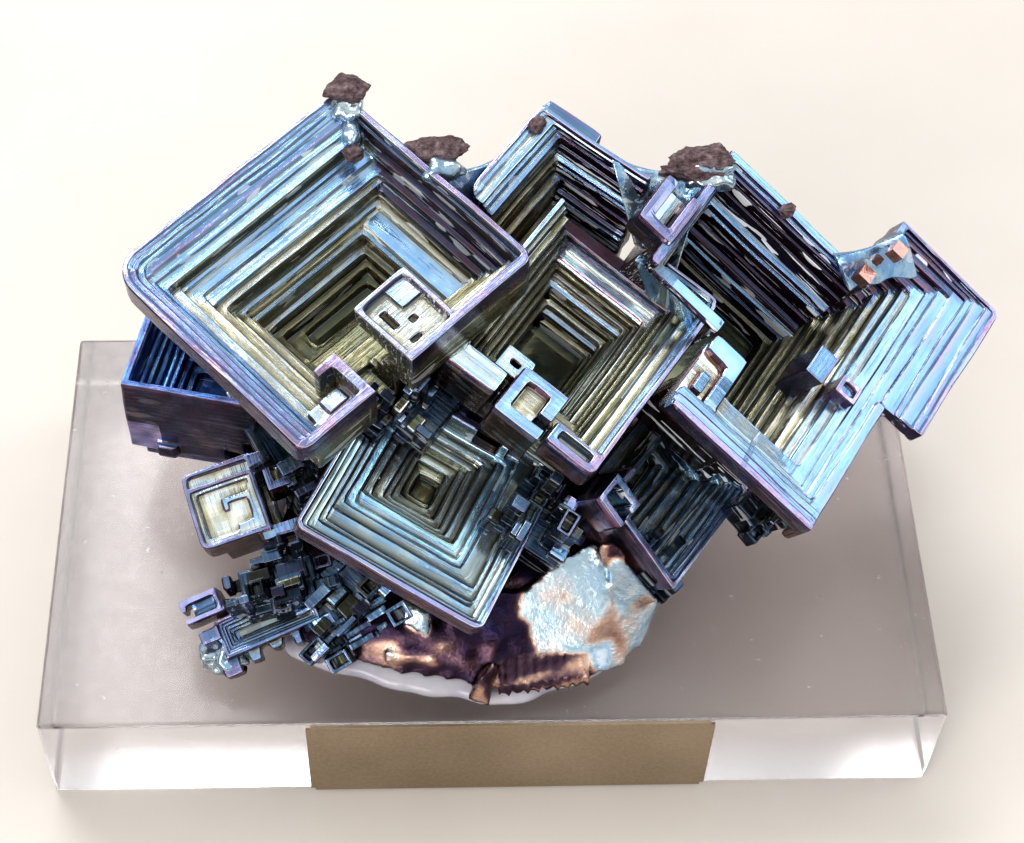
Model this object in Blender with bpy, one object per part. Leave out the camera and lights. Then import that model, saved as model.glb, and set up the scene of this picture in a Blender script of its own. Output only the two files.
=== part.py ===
"""A bismuth hopper crystal, glued to a clear acrylic display block that carries a bare label strip.

The metal is one body: about ten skeletal ("hopper") crystals have grown out of one broken lump. Each hopper
is a stepped square funnel. It is laid out on its own cubic axes: u and v run along the edges of its mouth and
w points out of it. Treads are parallel to the mouth and risers are square to it, so each hopper is filled in
as cells of a grid on those axes, and the hoppers, the lump and the crust are then united into one solid.

World axes: X along the block, Y to its back, Z up. The origin is the middle of the block's underside.
"""
import math

import bmesh
import bpy
import numpy as np
from mathutils import Matrix, Vector, noise

# ---- Driving dimensions, in millimetres and degrees ----
MM = 0.001
GAP = 0.3                                   # between pieces that touch

BLOCK_LENGTH = 82.6                         # a 3 1/4 x 1 3/4 x 1/2 inch acrylic slab
BLOCK_DEPTH = 44.5
BLOCK_HEIGHT = 12.7
BLOCK_EASING = 0.35                         # flame-polished edges

LABEL_LEFT = -17.2
LABEL_RIGHT = 20.0
LABEL_HEIGHT = 12.0                         # a 12 mm tape
LABEL_THICKNESS = 0.25

GLUE_THICKNESS = 0.7
GLUE_MARGIN = 1.3                           # how far the glue shows past the lump

CRYSTAL_FOOT = BLOCK_HEIGHT + GLUE_THICKNESS + 2 * GAP

WALL = 1.3                                  # thickness of a hopper's wall, across
FLOOR = 1.2                                 # and below a tread
UNDERSIDE_SKIP = 2                          # the underside has one step for this many inside

ROUGH_SEED = 7

WELD = 0.001                                # points closer than this become one
COPLANAR = 0.4                              # degrees between faces that count as one plane


# ---- Crystals laid out as cells of a grid ----

def crystal_axes(centre, lean, toward, heading):
    """The matrix from a crystal's own axes to the world: w leans by lean towards toward, u heads along heading."""
    lean, toward, heading = (math.radians(angle) for angle in (lean, toward, heading))
    w = Vector((math.sin(lean) * math.cos(toward), math.sin(lean) * math.sin(toward), math.cos(lean)))
    across = Vector((math.cos(heading), math.sin(heading), 0))
    across.z = -(across.x * w.x + across.y * w.y) / w.z
    u = across.normalized()
    v = w.cross(u)
    turn = Matrix((u, v, w)).transposed().to_4x4()
    return Matrix.Translation(Vector(centre)) @ turn


def depth_at(distance, stairs):
    """How deep the staircase is at a distance in from the rim. Each stair is (distance of its riser, depth)."""
    risers = [0.0] + [stair[0] for stair in stairs]
    depths = [-100.0, 0.0] + [stair[1] for stair in stairs]
    return np.array(depths)[np.searchsorted(risers, distance, side="right")]


def underside(stairs):
    """The coarser staircase below one side: everywhere WALL behind its risers and FLOOR below its treads."""
    picked = [index for index in range(len(stairs) - 1, -1, -UNDERSIDE_SKIP) if stairs[index][0] > WALL][::-1]
    below = [(0.0, (stairs[picked[0] - 1][1] if picked[0] else 0.0) + FLOOR)] if picked else []
    for index, following in zip(picked, picked[1:] + [len(stairs)]):
        below.append((stairs[index][0] - WALL, stairs[following - 1][1] + FLOOR))
    return below or [(0.0, stairs[-1][1] + FLOOR)]


class Growth:
    """One crystal: an ordered list of additions and cuts, each a test of the grid's cell centres."""

    def __init__(self, axes):
        self.axes = axes
        self.lines = ([], [], [])
        self.steps = []
        self.seed = None                    # a filled point: where it is given, loose cells are dropped

    def box(self, u, v, w, solid=True):
        """Adds (or cuts) the block between the pairs u, v and w."""
        for line, pair in zip(self.lines, (u, v, w)):
            line.extend(pair)

        def inside(cu, cv, cw):
            return ((u[0] < cu) & (cu < u[1]) & (v[0] < cv) & (cv < v[1]) & (w[0] < cw) & (cw < w[1]))

        self.steps.append((inside, solid))
        return self

    def cut(self, u, v, w):
        return self.box(u, v, w, solid=False)

    def hopper(self, rim, left, right, front, back):
        """A stepped funnel. rim is (u0, u1, v0, v1); left, right, front and back are the sides' staircases."""
        sides = ((left, rim[0], 1, 0), (right, rim[1], -1, 0), (front, rim[2], 1, 1), (back, rim[3], -1, 1))
        unders = []
        for stairs, edge, inward, axis in sides:
            under = underside(stairs)
            unders.append(under)
            self.lines[axis].append(edge)
            self.lines[axis].extend(edge + inward * distance for distance, depth in stairs)
            self.lines[axis].extend(edge + inward * distance for distance, depth in under)
            self.lines[2].extend(-depth for distance, depth in stairs)
            self.lines[2].extend(-depth for distance, depth in under)
        self.lines[2].append(0.0)

        def inside(cu, cv, cw):
            centres = (cu, cv)
            tops, bottoms = [], []
            for (stairs, edge, inward, axis), under in zip(sides, unders):
                distance = (centres[axis] - edge) * inward
                tops.append(depth_at(distance, stairs))
                bottoms.append(depth_at(distance, under))
            top = np.minimum.reduce(tops)
            bottom = np.minimum.reduce(bottoms)
            return (top >= 0) & (cw < -top) & (cw > -bottom)

        self.steps.append((inside, True))
        return self

    def frame_hook(self, u, v, w, bar, gap_side=None, gap=0.0):
        """A square loop of bars, open for gap at one corner: 'u0', 'u1', 'v0' or 'v1' names the open side."""
        self.box(u, v, w)
        self.cut((u[0] + bar, u[1] - bar), (v[0] + bar, v[1] - bar), w)
        openings = {"u0": ((u[0], u[0] + bar), (v[0] + bar, v[0] + bar + gap)),
                    "u1": ((u[1] - bar, u[1]), (v[1] - bar - gap, v[1] - bar)),
                    "v0": ((u[0] + bar, u[0] + bar + gap), (v[0], v[0] + bar)),
                    "v1": ((u[1] - bar - gap, u[1] - bar), (v[1] - bar, v[1]))}
        if gap_side:
            self.cut(openings[gap_side][0], openings[gap_side][1], w)
        return self

    def cells(self):
        lines = [np.array(sorted(set(np.round(line, 4)))) for line in self.lines]
        lines = [line[np.concatenate(([True], np.diff(line) > 0.04))] for line in lines]
        centres = [(line[1:] + line[:-1]) / 2 for line in lines]
        cu, cv, cw = np.meshgrid(*centres, indexing="ij")
        solid = np.zeros(cu.shape, bool)
        for inside, value in self.steps:
            solid[inside(cu, cv, cw)] = value
        solid = np.pad(solid, 1)
        if self.seed is not None:
            start = tuple(int(np.searchsorted(line, place)) for line, place in zip(lines, self.seed))
            solid = joined_to(solid, start)
        return lines, without_pinches(solid)

    def mesh(self):
        """The boundary of the filled cells as a bmesh in world millimetres, with coplanar faces merged."""
        lines, solid = self.cells()
        shell = bmesh.new()
        corners = {}

        def corner(index):
            if index not in corners:
                place = Vector([lines[axis][index[axis]] for axis in range(3)])
                corners[index] = shell.verts.new(self.axes @ place)
            return corners[index]

        for axis in range(3):
            first, second = (axis + 1) % 3, (axis + 2) % 3
            ahead = np.roll(solid, -1, axis)
            for cell in np.argwhere(solid != ahead):
                base = [int(place) - 1 for place in cell]
                base[axis] += 1
                loop = []
                for a, b in ((0, 0), (1, 0), (1, 1), (0, 1)):
                    index = list(base)
                    index[first] += a
                    index[second] += b
                    loop.append(corner(tuple(index)))
                faces_ahead = solid[tuple(cell)]
                shell.faces.new(loop if faces_ahead else loop[::-1])
        shell.normal_update()
        bmesh.ops.dissolve_limit(shell, angle_limit=math.radians(0.5), verts=shell.verts[:],
                                 edges=shell.edges[:], use_dissolve_boundaries=False)
        bmesh.ops.triangulate(shell, faces=shell.faces[:])
        return shell


def joined_to(solid, start):
    """The filled cells that share faces, one after another, with the cell start."""
    reached = np.zeros_like(solid)
    reached[start] = solid[start]
    while True:
        grown = reached.copy()
        for axis in range(3):
            grown |= np.roll(reached, 1, axis) | np.roll(reached, -1, axis)
        grown &= solid
        if (grown == reached).all():
            return reached
        reached = grown


def without_pinches(solid):
    """Fills one cell wherever two filled cells touch along an edge or at a corner alone."""
    changed = True
    while changed:
        changed = False
        for axis in range(3):
            first, second = [other for other in range(3) if other != axis]
            a = solid
            b = np.roll(solid, -1, first)
            c = np.roll(solid, -1, second)
            d = np.roll(b, -1, second)
            for here, there, empty, other in ((a, d, b, c), (b, c, a, d)):
                pinched = here & there & ~empty & ~other
                if pinched.any():
                    changed = True
                    spot = np.argwhere(pinched)
                    if empty is b:
                        spot[:, first] += 1
                    solid[tuple(spot.T)] = True
                    break
            if changed:
                break
    return solid


# ---- The hoppers, largest first ----
# Each crystal's axes are the centre of its mouth, how far w leans from the vertical, the heading that it leans
# towards, and the heading of u, counted from X.

AXES_A = crystal_axes((-14.5, 5.9, 43.0), 9.4, -101.3, 42.7)
AXES_B_TIP = crystal_axes((7.3, 16.2, 42.0), 12.8, -74.9, 52.1)
AXES_B = crystal_axes((8.2, 4.1, 36.0), 20.1, -37.8, 56.1)
AXES_C = crystal_axes((25.6, 4.0, 34.0), 30.7, -38.6, 56.4)
AXES_D = crystal_axes((-5.4, -8.2, 27.0), 18.6, -32.9, 64.4)
AXES_E = crystal_axes((-23.3, -5.4, 24.0), 19.9, -96.1, 16.9)
AXES_F = crystal_axes((-26.5, 9.6, 28.0), 0.0, 0.0, -13.0)
AXES_G = crystal_axes((17.2, -4.5, 24.0), 43.2, -31.0, 55.1)

# Each staircase is (distance in from the rim, depth there), in millimetres. Left is the low-u side, right the
# high-u side, front the low-v side and back the high-v side.

def hopper_a():
    """The big square hopper at the left, whose front rim curls inwards at both sides of a gap."""
    growth = Growth(AXES_A)
    growth.hopper(
        rim=(-13.7, 13.5, -11.9, 13.2),
        left=[(1.3, 0.5), (1.9, 1.2), (2.9, 2.4), (3.9, 3.4), (5.1, 4.6), (6.8, 6.6), (7.6, 7.6), (8.1, 9.6),
              (9.7, 11.9), (11.6, 12.8)],
        right=[(0.7, 1.2), (1.5, 3.1), (2.1, 5.2), (2.9, 6.6), (5.7, 7.6), (6.1, 9.6), (7.1, 11.9), (7.7, 12.8)],
        front=[(0.9, 1.2), (2.1, 3.1), (3.0, 4.6), (3.9, 6.6), (5.0, 7.6), (7.4, 9.6), (9.8, 11.2), (11.0, 11.9),
               (12.2, 12.8)],
        back=[(0.8, 0.5), (2.6, 1.2), (4.4, 3.1), (7.7, 4.6), (7.9, 6.6), (8.7, 7.6), (9.1, 9.6), (10.4, 11.9),
              (11.0, 12.8)])
    growth.cut((-5.4, -1.4), (-11.9, -5.8), (-9.0, 0.0))
    # the worn far left corner
    growth.cut((-13.7, -12.7), (12.2, 13.2), (-14.0, 0.0))
    # the curl left of the gap
    growth.box((-6.3, -5.4), (-11.9, -6.7), (-4.2, 0.0))
    growth.box((-7.9, -6.3), (-7.5, -6.7), (-4.2, 0.0))
    growth.box((-10.4, -6.3), (-11.2, -8.6), (-4.2, -2.0))
    # the square cell right of it
    growth.box((-1.4, 4.7), (-11.9, -4.6), (-2.4, 0.0))
    growth.cut((-0.5, 3.8), (-10.7, -5.4), (-1.3, 0.0))
    growth.box((2.4, 3.9), (-8.6, -7.2), (-1.3, -0.3))
    growth.box((0.0, 1.2), (-8.0, -5.4), (-1.3, -0.8))
    return growth


def hopper_b_tip():
    """The high corner behind the middle hopper."""
    growth = Growth(AXES_B_TIP)
    growth.hopper(
        rim=(-6.5, 5.2, -5.2, 7.2),
        left=[(0.9, 2.0), (2.0, 5.5), (3.0, 8.5), (4.0, 11.0)],
        right=[(0.5, 1.0), (0.8, 3.0), (1.3, 5.5), (1.8, 8.5), (2.5, 11.0)],
        front=[(0.05, 11.0)],
        back=[(0.9, 0.4), (1.9, 0.9), (2.7, 1.5), (3.6, 5.5), (4.6, 8.5), (6.4, 11.0)])
    growth.box((5.1, 6.5), (1.0, 7.15), (-2.2, -0.6))
    return growth


def hopper_b():
    """The middle hopper: a tall right wall with one broad ledge, and a left rim broken into square curls."""
    growth = Growth(AXES_B)
    growth.hopper(
        rim=(-11.3, 11.6, -8.2, 9.3),
        left=[(1.0, 1.6), (2.2, 3.0), (3.8, 5.0), (5.4, 6.9), (7.2, 8.4), (9.0, 10.5), (10.8, 12.0)],
        right=[(0.9, 1.6), (1.2, 6.2), (2.9, 6.9), (3.8, 8.4), (4.6, 9.6), (5.3, 10.5), (6.3, 12.0)],
        front=[(1.0, 0.8), (1.9, 2.0), (2.8, 3.8), (3.9, 6.2), (4.9, 8.4), (5.9, 10.5), (6.7, 12.0)],
        back=[(1.0, 2.0), (1.8, 5.0), (2.7, 6.9), (3.6, 8.4), (4.2, 10.5), (4.8, 12.0)])
    growth.cut((-11.3, -7.6), (-2.9, 9.3), (-5.0, 0.0))
    growth.cut((10.0, 11.6), (-2.0, 9.3), (-4.0, 0.0))
    # the curled rim at the near left corner
    growth.box((-11.3, -9.0), (-8.2, -2.9), (-2.6, 0.0))
    growth.cut((-10.4, -9.6), (-7.2, -3.8), (-1.2, 0.0))
    # square curls and plates along the left side
    growth.frame_hook((-11.4, -6.0), (-2.4, 2.4), (-5.6, -0.8), 1.15, "v0", 1.9)
    growth.box((-6.7, -4.1), (1.5, 4.7), (-8.0, -2.8))
    growth.cut((-5.7, -5.2), (2.7, 3.6), (-4.0, -2.8))
    growth.box((-9.6, -7.1), (3.1, 8.4), (-7.5, -2.0))
    return growth


def hopper_c():
    """The right-hand hopper. Its near right corner has outgrown the rest by a rim of its own."""
    growth = Growth(AXES_C)
    front = [(1.3, 0.4), (3.4, 0.8), (6.0, 1.3), (7.8, 2.0), (8.8, 2.9), (10.0, 4.0), (10.6, 5.6), (12.4, 9.0),
             (13.4, 10.2), (14.2, 13.0)]
    # the corner that grew on
    growth.hopper(
        rim=(3.7, 20.5, -16.5, -3.4),
        left=[(0.5, 0.4), (1.1, 13.0)],
        right=[(0.5, 0.4), (2.0, 0.8), (3.6, 1.6), (5.0, 3.2), (6.4, 5.0), (7.9, 7.0), (9.5, 9.5), (12.0, 13.0)],
        front=front,
        back=[(0.6, 0.8), (0.9, 13.0)])
    # the main hopper
    growth.hopper(
        rim=(-12.2, 12.5, -16.5, 14.0),
        left=[(0.9, 0.5), (2.4, 1.0), (3.6, 1.6), (5.2, 5.6), (5.9, 9.0), (6.6, 13.0)],
        right=[(2.0, 2.2), (2.4, 4.6), (3.0, 7.0), (3.7, 9.0), (4.1, 11.0), (4.7, 13.0)],
        front=front,
        back=[(0.9, 1.6), (1.5, 4.6), (2.3, 9.0), (3.2, 13.0)])
    growth.cut((-12.2, 3.7), (-16.5, -12.3), (-20.0, 0.0))
    growth.box((-12.2, 3.7), (-12.3, -11.2), (-4.0, -0.7))
    growth.cut((-12.2, -2.6), (4.9, 14.0), (-20.0, 0.0))
    growth.box((-2.6, -1.2), (4.9, 14.0), (-14.0, -1.0))
    growth.cut((4.8, 11.6), (-6.0, -3.2), (-4.0, 0.0))
    # square curl over the far left corner
    growth.frame_hook((-11.2, -2.7), (1.2, 4.8), (-3.4, -0.9), 1.3, "v0", 1.6)
    growth.box((-8.5, -5.4), (1.8, 4.2), (-3.4, -1.5))
    # block between this hopper and the high corner
    growth.box((-0.4, 5.4), (13.4, 17.4), (-8.0, 0.6))
    growth.cut((0.8, 5.4), (14.4, 16.2), (-1.4, 0.6))
    # small cubes standing on the treads
    growth.box((0.6, 3.8), (-5.8, -3.6), (-6.0, -0.4))
    growth.box((1.0, 3.1), (-9.4, -7.0), (-3.4, -0.3))
    growth.box((11.3, 12.4), (-4.0, -2.9), (-3.0, 0.6))
    growth.box((15.6, 16.8), (-4.9, -3.8), (-3.0, 0.9))
    return growth


def hopper_d():
    """The shallow hopper in front, with one broad square ledge halfway in."""
    growth = Growth(AXES_D)
    growth.hopper(
        rim=(-8.7, 10.1, -8.9, 9.9),
        left=[(0.55, 0.3), (1.3, 0.6), (2.35, 0.9), (3.8, 1.3), (5.3, 1.7), (7.06, 2.6), (8.4, 3.8), (9.8, 4.8),
              (11.3, 6.0)],
        right=[(0.4, 0.6), (0.9, 1.3), (1.3, 1.7), (2.1, 2.6), (3.2, 3.8), (4.2, 4.8), (5.2, 6.0)],
        front=[(0.6, 0.3), (1.5, 0.9), (2.9, 1.3), (4.0, 1.7), (5.5, 2.6), (6.6, 3.8), (7.8, 4.8), (8.9, 6.0)],
        back=[(1.0, 0.6), (2.2, 1.3), (2.7, 1.7), (3.7, 2.6), (5.1, 3.8), (6.4, 4.8), (7.6, 6.0)])
    growth.cut((2.8, 10.1), (7.4, 9.9), (-4.0, 0.0))
    growth.frame_hook((8.4, 11.2), (-3.6, 5.4), (-3.0, 0.5), 0.9, "u0", 2.4)
    growth.box((3.4, 5.6), (7.2, 9.4), (-3.4, 0.7))
    growth.box((6.6, 8.7), (3.4, 5.4), (-3.4, 0.9))
    growth.box((3.6, 9.6), (9.0, 11.4), (-6.0, -1.4))
    return growth


def hopper_e():
    """The small square spiral at the left."""
    growth = Growth(AXES_E)
    growth.box((-4.2, 2.3), (-3.6, 3.8), (-3.6, 0.0))
    growth.cut((-3.4, 2.3), (2.0, 3.1), (-1.3, 0.0))
    growth.cut((-3.4, 1.4), (-2.8, 1.3), (-0.8, 0.0))
    growth.box((-0.9, 0.6), (-2.8, -0.4), (-0.8, -0.2))
    growth.cut((-0.2, 0.1), (-2.8, -1.2), (-1.6, -0.2))
    growth.box((1.2, 5.0), (-4.6, -3.4), (-3.0, -0.2))
    growth.box((1.2, 2.1), (-4.6, 1.3), (-2.6, -0.3))
    growth.box((3.0, 5.2), (-0.4, 1.9), (-4.0, 0.4))
    growth.cut((3.7, 4.5), (0.4, 1.9), (-0.8, 0.4))
    growth.box((2.0, 3.4), (2.4, 3.6), (-3.0, 0.2))
    growth.box((-2.6, 3.2), (-3.0, 2.6), (-9.0, -3.4))
    return growth


def hopper_f():
    """The deep-walled box at the far left, its mouth level."""
    growth = Growth(AXES_F)
    growth.hopper(
        rim=(-6.4, 6.4, -6.4, 6.4),
        left=[(0.8, 1.4), (1.5, 3.2), (2.3, 5.0), (3.2, 6.8), (4.4, 8.4)],
        right=[(0.8, 1.4), (1.5, 3.2), (2.3, 5.0), (3.2, 6.8), (4.4, 8.4)],
        front=[(0.7, 1.4), (1.3, 3.2), (2.0, 5.0), (2.9, 6.8), (4.2, 8.4)],
        back=[(0.8, 1.4), (1.5, 3.2), (2.3, 5.0), (3.2, 6.8), (4.4, 8.4)])
    growth.box((-6.4, -5.5), (-6.4, 1.0), (-9.4, -0.4))
    growth.box((-6.4, 3.0), (-6.4, -5.6), (-9.6, -0.35))
    growth.box((-5.0, 3.2), (-6.0, -5.0), (-11.0, -9.0))
    growth.box((-3.6, -1.6), (-7.0, -6.0), (-9.9, -8.2))
    growth.box((-3.0, 0.6), (5.2, 8.0), (-4.0, 1.0))
    growth.box((-4.0, 4.0), (-4.0, 4.0), (-13.5, -9.0))
    return growth


def hopper_g():
    """The dark, strongly leaning hopper under the right-hand one."""
    growth = Growth(AXES_G)
    growth.hopper(
        rim=(-7.6, 6.4, -5.8, 5.2),
        left=[(0.8, 0.5), (1.4, 1.6), (2.0, 3.2), (2.7, 5.4), (3.4, 7.0)],
        right=[(0.6, 1.6), (1.2, 3.2), (1.8, 5.4), (2.4, 7.0)],
        front=[(0.8, 0.5), (1.6, 1.6), (2.6, 3.2), (3.8, 4.3), (5.0, 5.4), (6.2, 7.0)],
        back=[(0.8, 1.6), (1.6, 3.2), (2.4, 5.4), (3.2, 7.0)])
    growth.cut((-3.0, 6.4), (3.6, 5.2), (-5.0, 0.0))
    growth.frame_hook((-8.8, -5.4), (2.4, 6.2), (-3.0, 0.7), 0.8, "v0", 1.2)
    return growth


HOPPERS = (hopper_a, hopper_b_tip, hopper_b, hopper_c, hopper_d, hopper_e, hopper_f, hopper_g)


# ---- Clusters of small blocky crystals ----
# Each is (centre, lean, toward, heading, reach along u, v and w, number of blocks, seed).

CLUSTERS = (
    ((-21.5, -13.0, 18.5), 16, -120, 12, (5.4, 3.6, 3.4), 22, 3),
    ((-12.5, -13.5, 18.8), 24, -100, 40, (5.6, 3.0, 2.6), 16, 5),
    ((-14.5, -4.0, 24.0), 20, -80, 30, (4.6, 4.6, 5.0), 18, 8),
    ((-6.0, 1.5, 30.5), 18, -60, 52, (5.2, 4.0, 3.4), 12, 13),
    ((4.2, -8.0, 24.0), 22, -50, 60, (4.0, 4.4, 4.4), 16, 21),
    ((14.4, -9.8, 19.0), 30, -40, 50, (2.8, 2.8, 3.2), 10, 34),
    ((25.0, -6.4, 22.6), 35, -40, 50, (2.2, 2.0, 3.0), 8, 55),
    ((-19.0, 3.0, 25.0), 10, -100, 30, (5.0, 5.0, 5.0), 14, 89),
)


def cluster(centre, lean, toward, heading, reach, count, seed):
    """Small blocks heaped round a core, all on the same axes, some with a square pit in the top."""
    random = np.random.default_rng(seed)
    growth = Growth(crystal_axes(centre, lean, toward, heading))
    core = [0.55 * length for length in reach]
    growth.box((-core[0], core[0]), (-core[1], core[1]), (-reach[2] * 1.3, core[2]))
    growth.seed = (0.0, 0.0, -reach[2])
    for _ in range(count):
        middle = [random.uniform(-1, 1) * length for length in reach]
        half = random.uniform(0.7, 1.6, 3)
        top = middle[2] + half[2]
        u = (middle[0] - half[0], middle[0] + half[0])
        v = (middle[1] - half[1], middle[1] + half[1])
        growth.box(u, v, (min(-reach[2] * 0.6, middle[2]), top))
        if min(half[:2]) > 1.0:
            rim = 0.45
            growth.cut((u[0] + rim, u[1] - rim), (v[0] + rim, v[1] - rim), (top - 0.7, top))
    return growth


# ---- The broken lump that everything grew from ----
# Convex lumps, each a list of corners in world millimetres. The first stands on the glue.

FOOT = ((-18.0, -14.6), (-8.7, -18.2), (-0.5, -19.6), (8.0, -18.0), (12.4, -15.2), (16.0, -9.5), (17.0, 2.0),
        (10.0, 12.5), (-8.0, 14.0), (-19.0, 6.0), (-21.0, -6.0))
LUMPS = (
    # the body of the lump
    [(x, y, CRYSTAL_FOOT) for x, y in FOOT]
    + [(-16.5, -12.6, 17.0), (-8.0, -16.6, 17.6), (0.0, -17.6, 17.2), (-17.0, 2.0, 21.0), (-9.0, -8.0, 19.6),
       (-10.0, 10.0, 23.5), (4.0, 10.0, 23.0), (12.0, 3.0, 21.0), (13.5, -7.0, 18.5), (6.0, -12.0, 19.0)],
    # pale cleavage slab at the right front
    [(1.2, -18.6, 14.4), (9.6, -20.0, 14.3), (13.4, -18.0, 14.3), (17.2, -11.0, 14.6), (12.2, -17.4, 16.6),
     (8.4, -19.0, 16.4), (3.4, -15.4, 18.6), (6.2, -9.6, 22.4), (10.8, -6.4, 22.8), (15.0, -9.0, 18.0),
     (8.0, -4.0, 15.0)],
    # ribbed lip along its foot
    [(0.2, -20.6, 14.1), (8.6, -19.6, 14.1), (9.0, -18.4, 14.1), (0.6, -19.0, 14.1), (0.3, -20.2, 15.6),
     (8.8, -19.2, 15.8), (0.6, -17.6, 16.0), (8.8, -17.2, 16.2)],
    # trunk under the big hopper
    [(-19.5, 3.0, 19.0), (-8.0, 1.0, 19.0), (-6.0, 13.0, 19.0), (-18.5, 14.0, 19.0), (-17.0, 6.6, 29.7),
     (-12.0, 5.6, 29.6), (-10.5, 11.5, 29.9), (-16.5, 12.5, 29.9)],
    # trunk under the middle hopper
    [(-2.0, 3.0, 18.0), (9.0, 2.0, 18.0), (12.0, 12.0, 18.0), (0.0, 16.0, 18.0), (1.6, 7.6, 24.2),
     (6.4, 7.4, 24.2), (8.4, 12.4, 24.4), (2.4, 13.0, 24.6)],
    # ridge up the back, between the two
    [(-9.0, 9.0, 20.0), (7.0, 10.0, 20.0), (-8.0, 17.0, 21.0), (9.0, 17.0, 21.0), (-6.0, 14.0, 35.0),
     (5.0, 16.0, 33.0), (-4.0, 18.5, 34.0), (8.0, 19.5, 31.5)],
    # arm to the right-hand hopper
    [(9.0, -2.0, 16.0), (16.0, 0.0, 16.5), (12.0, 10.0, 17.0), (20.0, 12.0, 18.5), (15.0, 4.0, 21.5),
     (21.0, 7.0, 21.8), (24.0, 14.0, 22.4), (16.0, 13.0, 22.0)],
    # arm to the deep-walled box
    [(-14.0, -2.0, 15.0), (-14.0, 10.0, 16.0), (-22.0, 2.0, 15.5), (-24.0, 10.0, 16.5), (-29.0, 6.0, 17.0),
     (-28.0, 13.0, 17.5), (-16.0, 4.0, 20.0), (-22.0, 12.0, 19.0)],
    # curl of metal at the front
    [(-2.6, -20.9, 14.2), (-0.6, -21.6, 14.2), (-1.6, -18.0, 14.2), (-1.4, -20.8, 18.4), (-0.2, -19.4, 18.8),
     (0.4, -18.6, 16.0)],
)

# ---- Rough dross left on the upper edges where the crystal broke the surface of the melt ----
# Each is (the crystal's axes, centre on them, half sizes), in millimetres.

CRUSTS = (
    (AXES_A, (13.9, 13.3, -0.4), (2.2, 1.9, 1.7)),
    (AXES_A, (10.4, 8.4, -2.6), (1.0, 1.0, 1.2)),
    (AXES_A, (13.9, 4.0, -1.2), (1.5, 3.4, 1.5)),
    (AXES_B_TIP, (3.3, 7.2, -0.2), (1.1, 0.9, 0.9)),
    (AXES_B_TIP, (-6.0, 5.6, -1.4), (2.4, 2.6, 1.5)),
    (AXES_C, (8.6, 15.4, -0.6), (3.4, 2.7, 1.9)),
    (AXES_C, (12.5, 6.6, -0.8), (1.0, 1.7, 1.2)),
    (AXES_C, (16.4, -3.9, -0.6), (3.6, 1.2, 1.3)),
    (AXES_C, (3.0, -11.4, -1.4), (1.0, 1.0, 1.1)),
    (AXES_E, (0.8, -8.6, -6.4), (3.0, 2.6, 2.2)),
)


def crust(axes, centre, half_sizes, index):
    """A pitted lump: a coarse ball pushed in and out by noise."""
    shell = bmesh.new()
    bmesh.ops.create_icosphere(shell, subdivisions=2, radius=1.0)
    for vert in shell.verts:
        direction = vert.co.normalized()
        push = 1.0 + 0.28 * noise.noise(direction * 2.3 + Vector((ROUGH_SEED + index, 0.0, 0.0)))
        place = [push * direction[axis] * half_sizes[axis] + centre[axis] for axis in range(3)]
        vert.co = axes @ Vector(place)
    return shell


def lump(corners):
    shell = bmesh.new()
    for corner in corners:
        shell.verts.new(corner)
    bmesh.ops.convex_hull(shell, input=shell.verts[:])
    loose = [vert for vert in shell.verts if not vert.link_faces]
    bmesh.ops.delete(shell, geom=loose, context="VERTS")
    return shell


# ---- Building ----

def material(name, colour, roughness, metallic, transmission=0.0, ior=1.5):
    made = bpy.data.materials.new(name)
    made.use_nodes = True
    shader = made.node_tree.nodes["Principled BSDF"]
    shader.inputs["Base Color"].default_value = (*colour, 1.0)
    shader.inputs["Roughness"].default_value = roughness
    shader.inputs["Metallic"].default_value = metallic
    shader.inputs["Transmission Weight"].default_value = transmission
    shader.inputs["IOR"].default_value = ior
    made.diffuse_color = (*colour, 1.0)
    return made


def object_from(shell, name, finish=None):
    """Closes the bmesh, turns it from millimetres to metres and links it as an object."""
    bmesh.ops.recalc_face_normals(shell, faces=shell.faces[:])
    bmesh.ops.scale(shell, vec=(MM, MM, MM), verts=shell.verts[:])
    mesh = bpy.data.meshes.new(name)
    shell.to_mesh(mesh)
    shell.free()
    made = bpy.data.objects.new(name, mesh)
    bpy.context.scene.collection.objects.link(made)
    if finish:
        mesh.materials.append(finish)
    return made


def slab(name, low, high, finish=None, easing=0.0):
    shell = bmesh.new()
    bmesh.ops.create_cube(shell, size=1.0)
    for vert in shell.verts:
        vert.co = Vector([high[axis] if vert.co[axis] > 0 else low[axis] for axis in range(3)])
    made = object_from(shell, name, finish)
    if easing:
        bevel = made.modifiers.new("eased edges", "BEVEL")
        bevel.width = easing * MM
        bevel.segments = 2
        bevel.limit_method = "ANGLE"
    return made


def glue_pad(finish):
    """The film of set glue, a little wider than the lump's foot."""
    bottom = BLOCK_HEIGHT + GAP
    middle = Vector((sum(x for x, y in FOOT), sum(y for x, y in FOOT))) / len(FOOT)
    shell = bmesh.new()
    ring = []
    for x, y in FOOT:
        outward = (Vector((x, y)) - middle).normalized() * GLUE_MARGIN
        ring.append(shell.verts.new((x + outward.x, y + outward.y, bottom)))
    base = shell.faces.new(ring)
    lifted = bmesh.ops.extrude_face_region(shell, geom=[base])
    top = [item for item in lifted["geom"] if isinstance(item, bmesh.types.BMVert)]
    bmesh.ops.translate(shell, vec=(0, 0, GLUE_THICKNESS), verts=top)
    return object_from(shell, "glue", finish)


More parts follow.
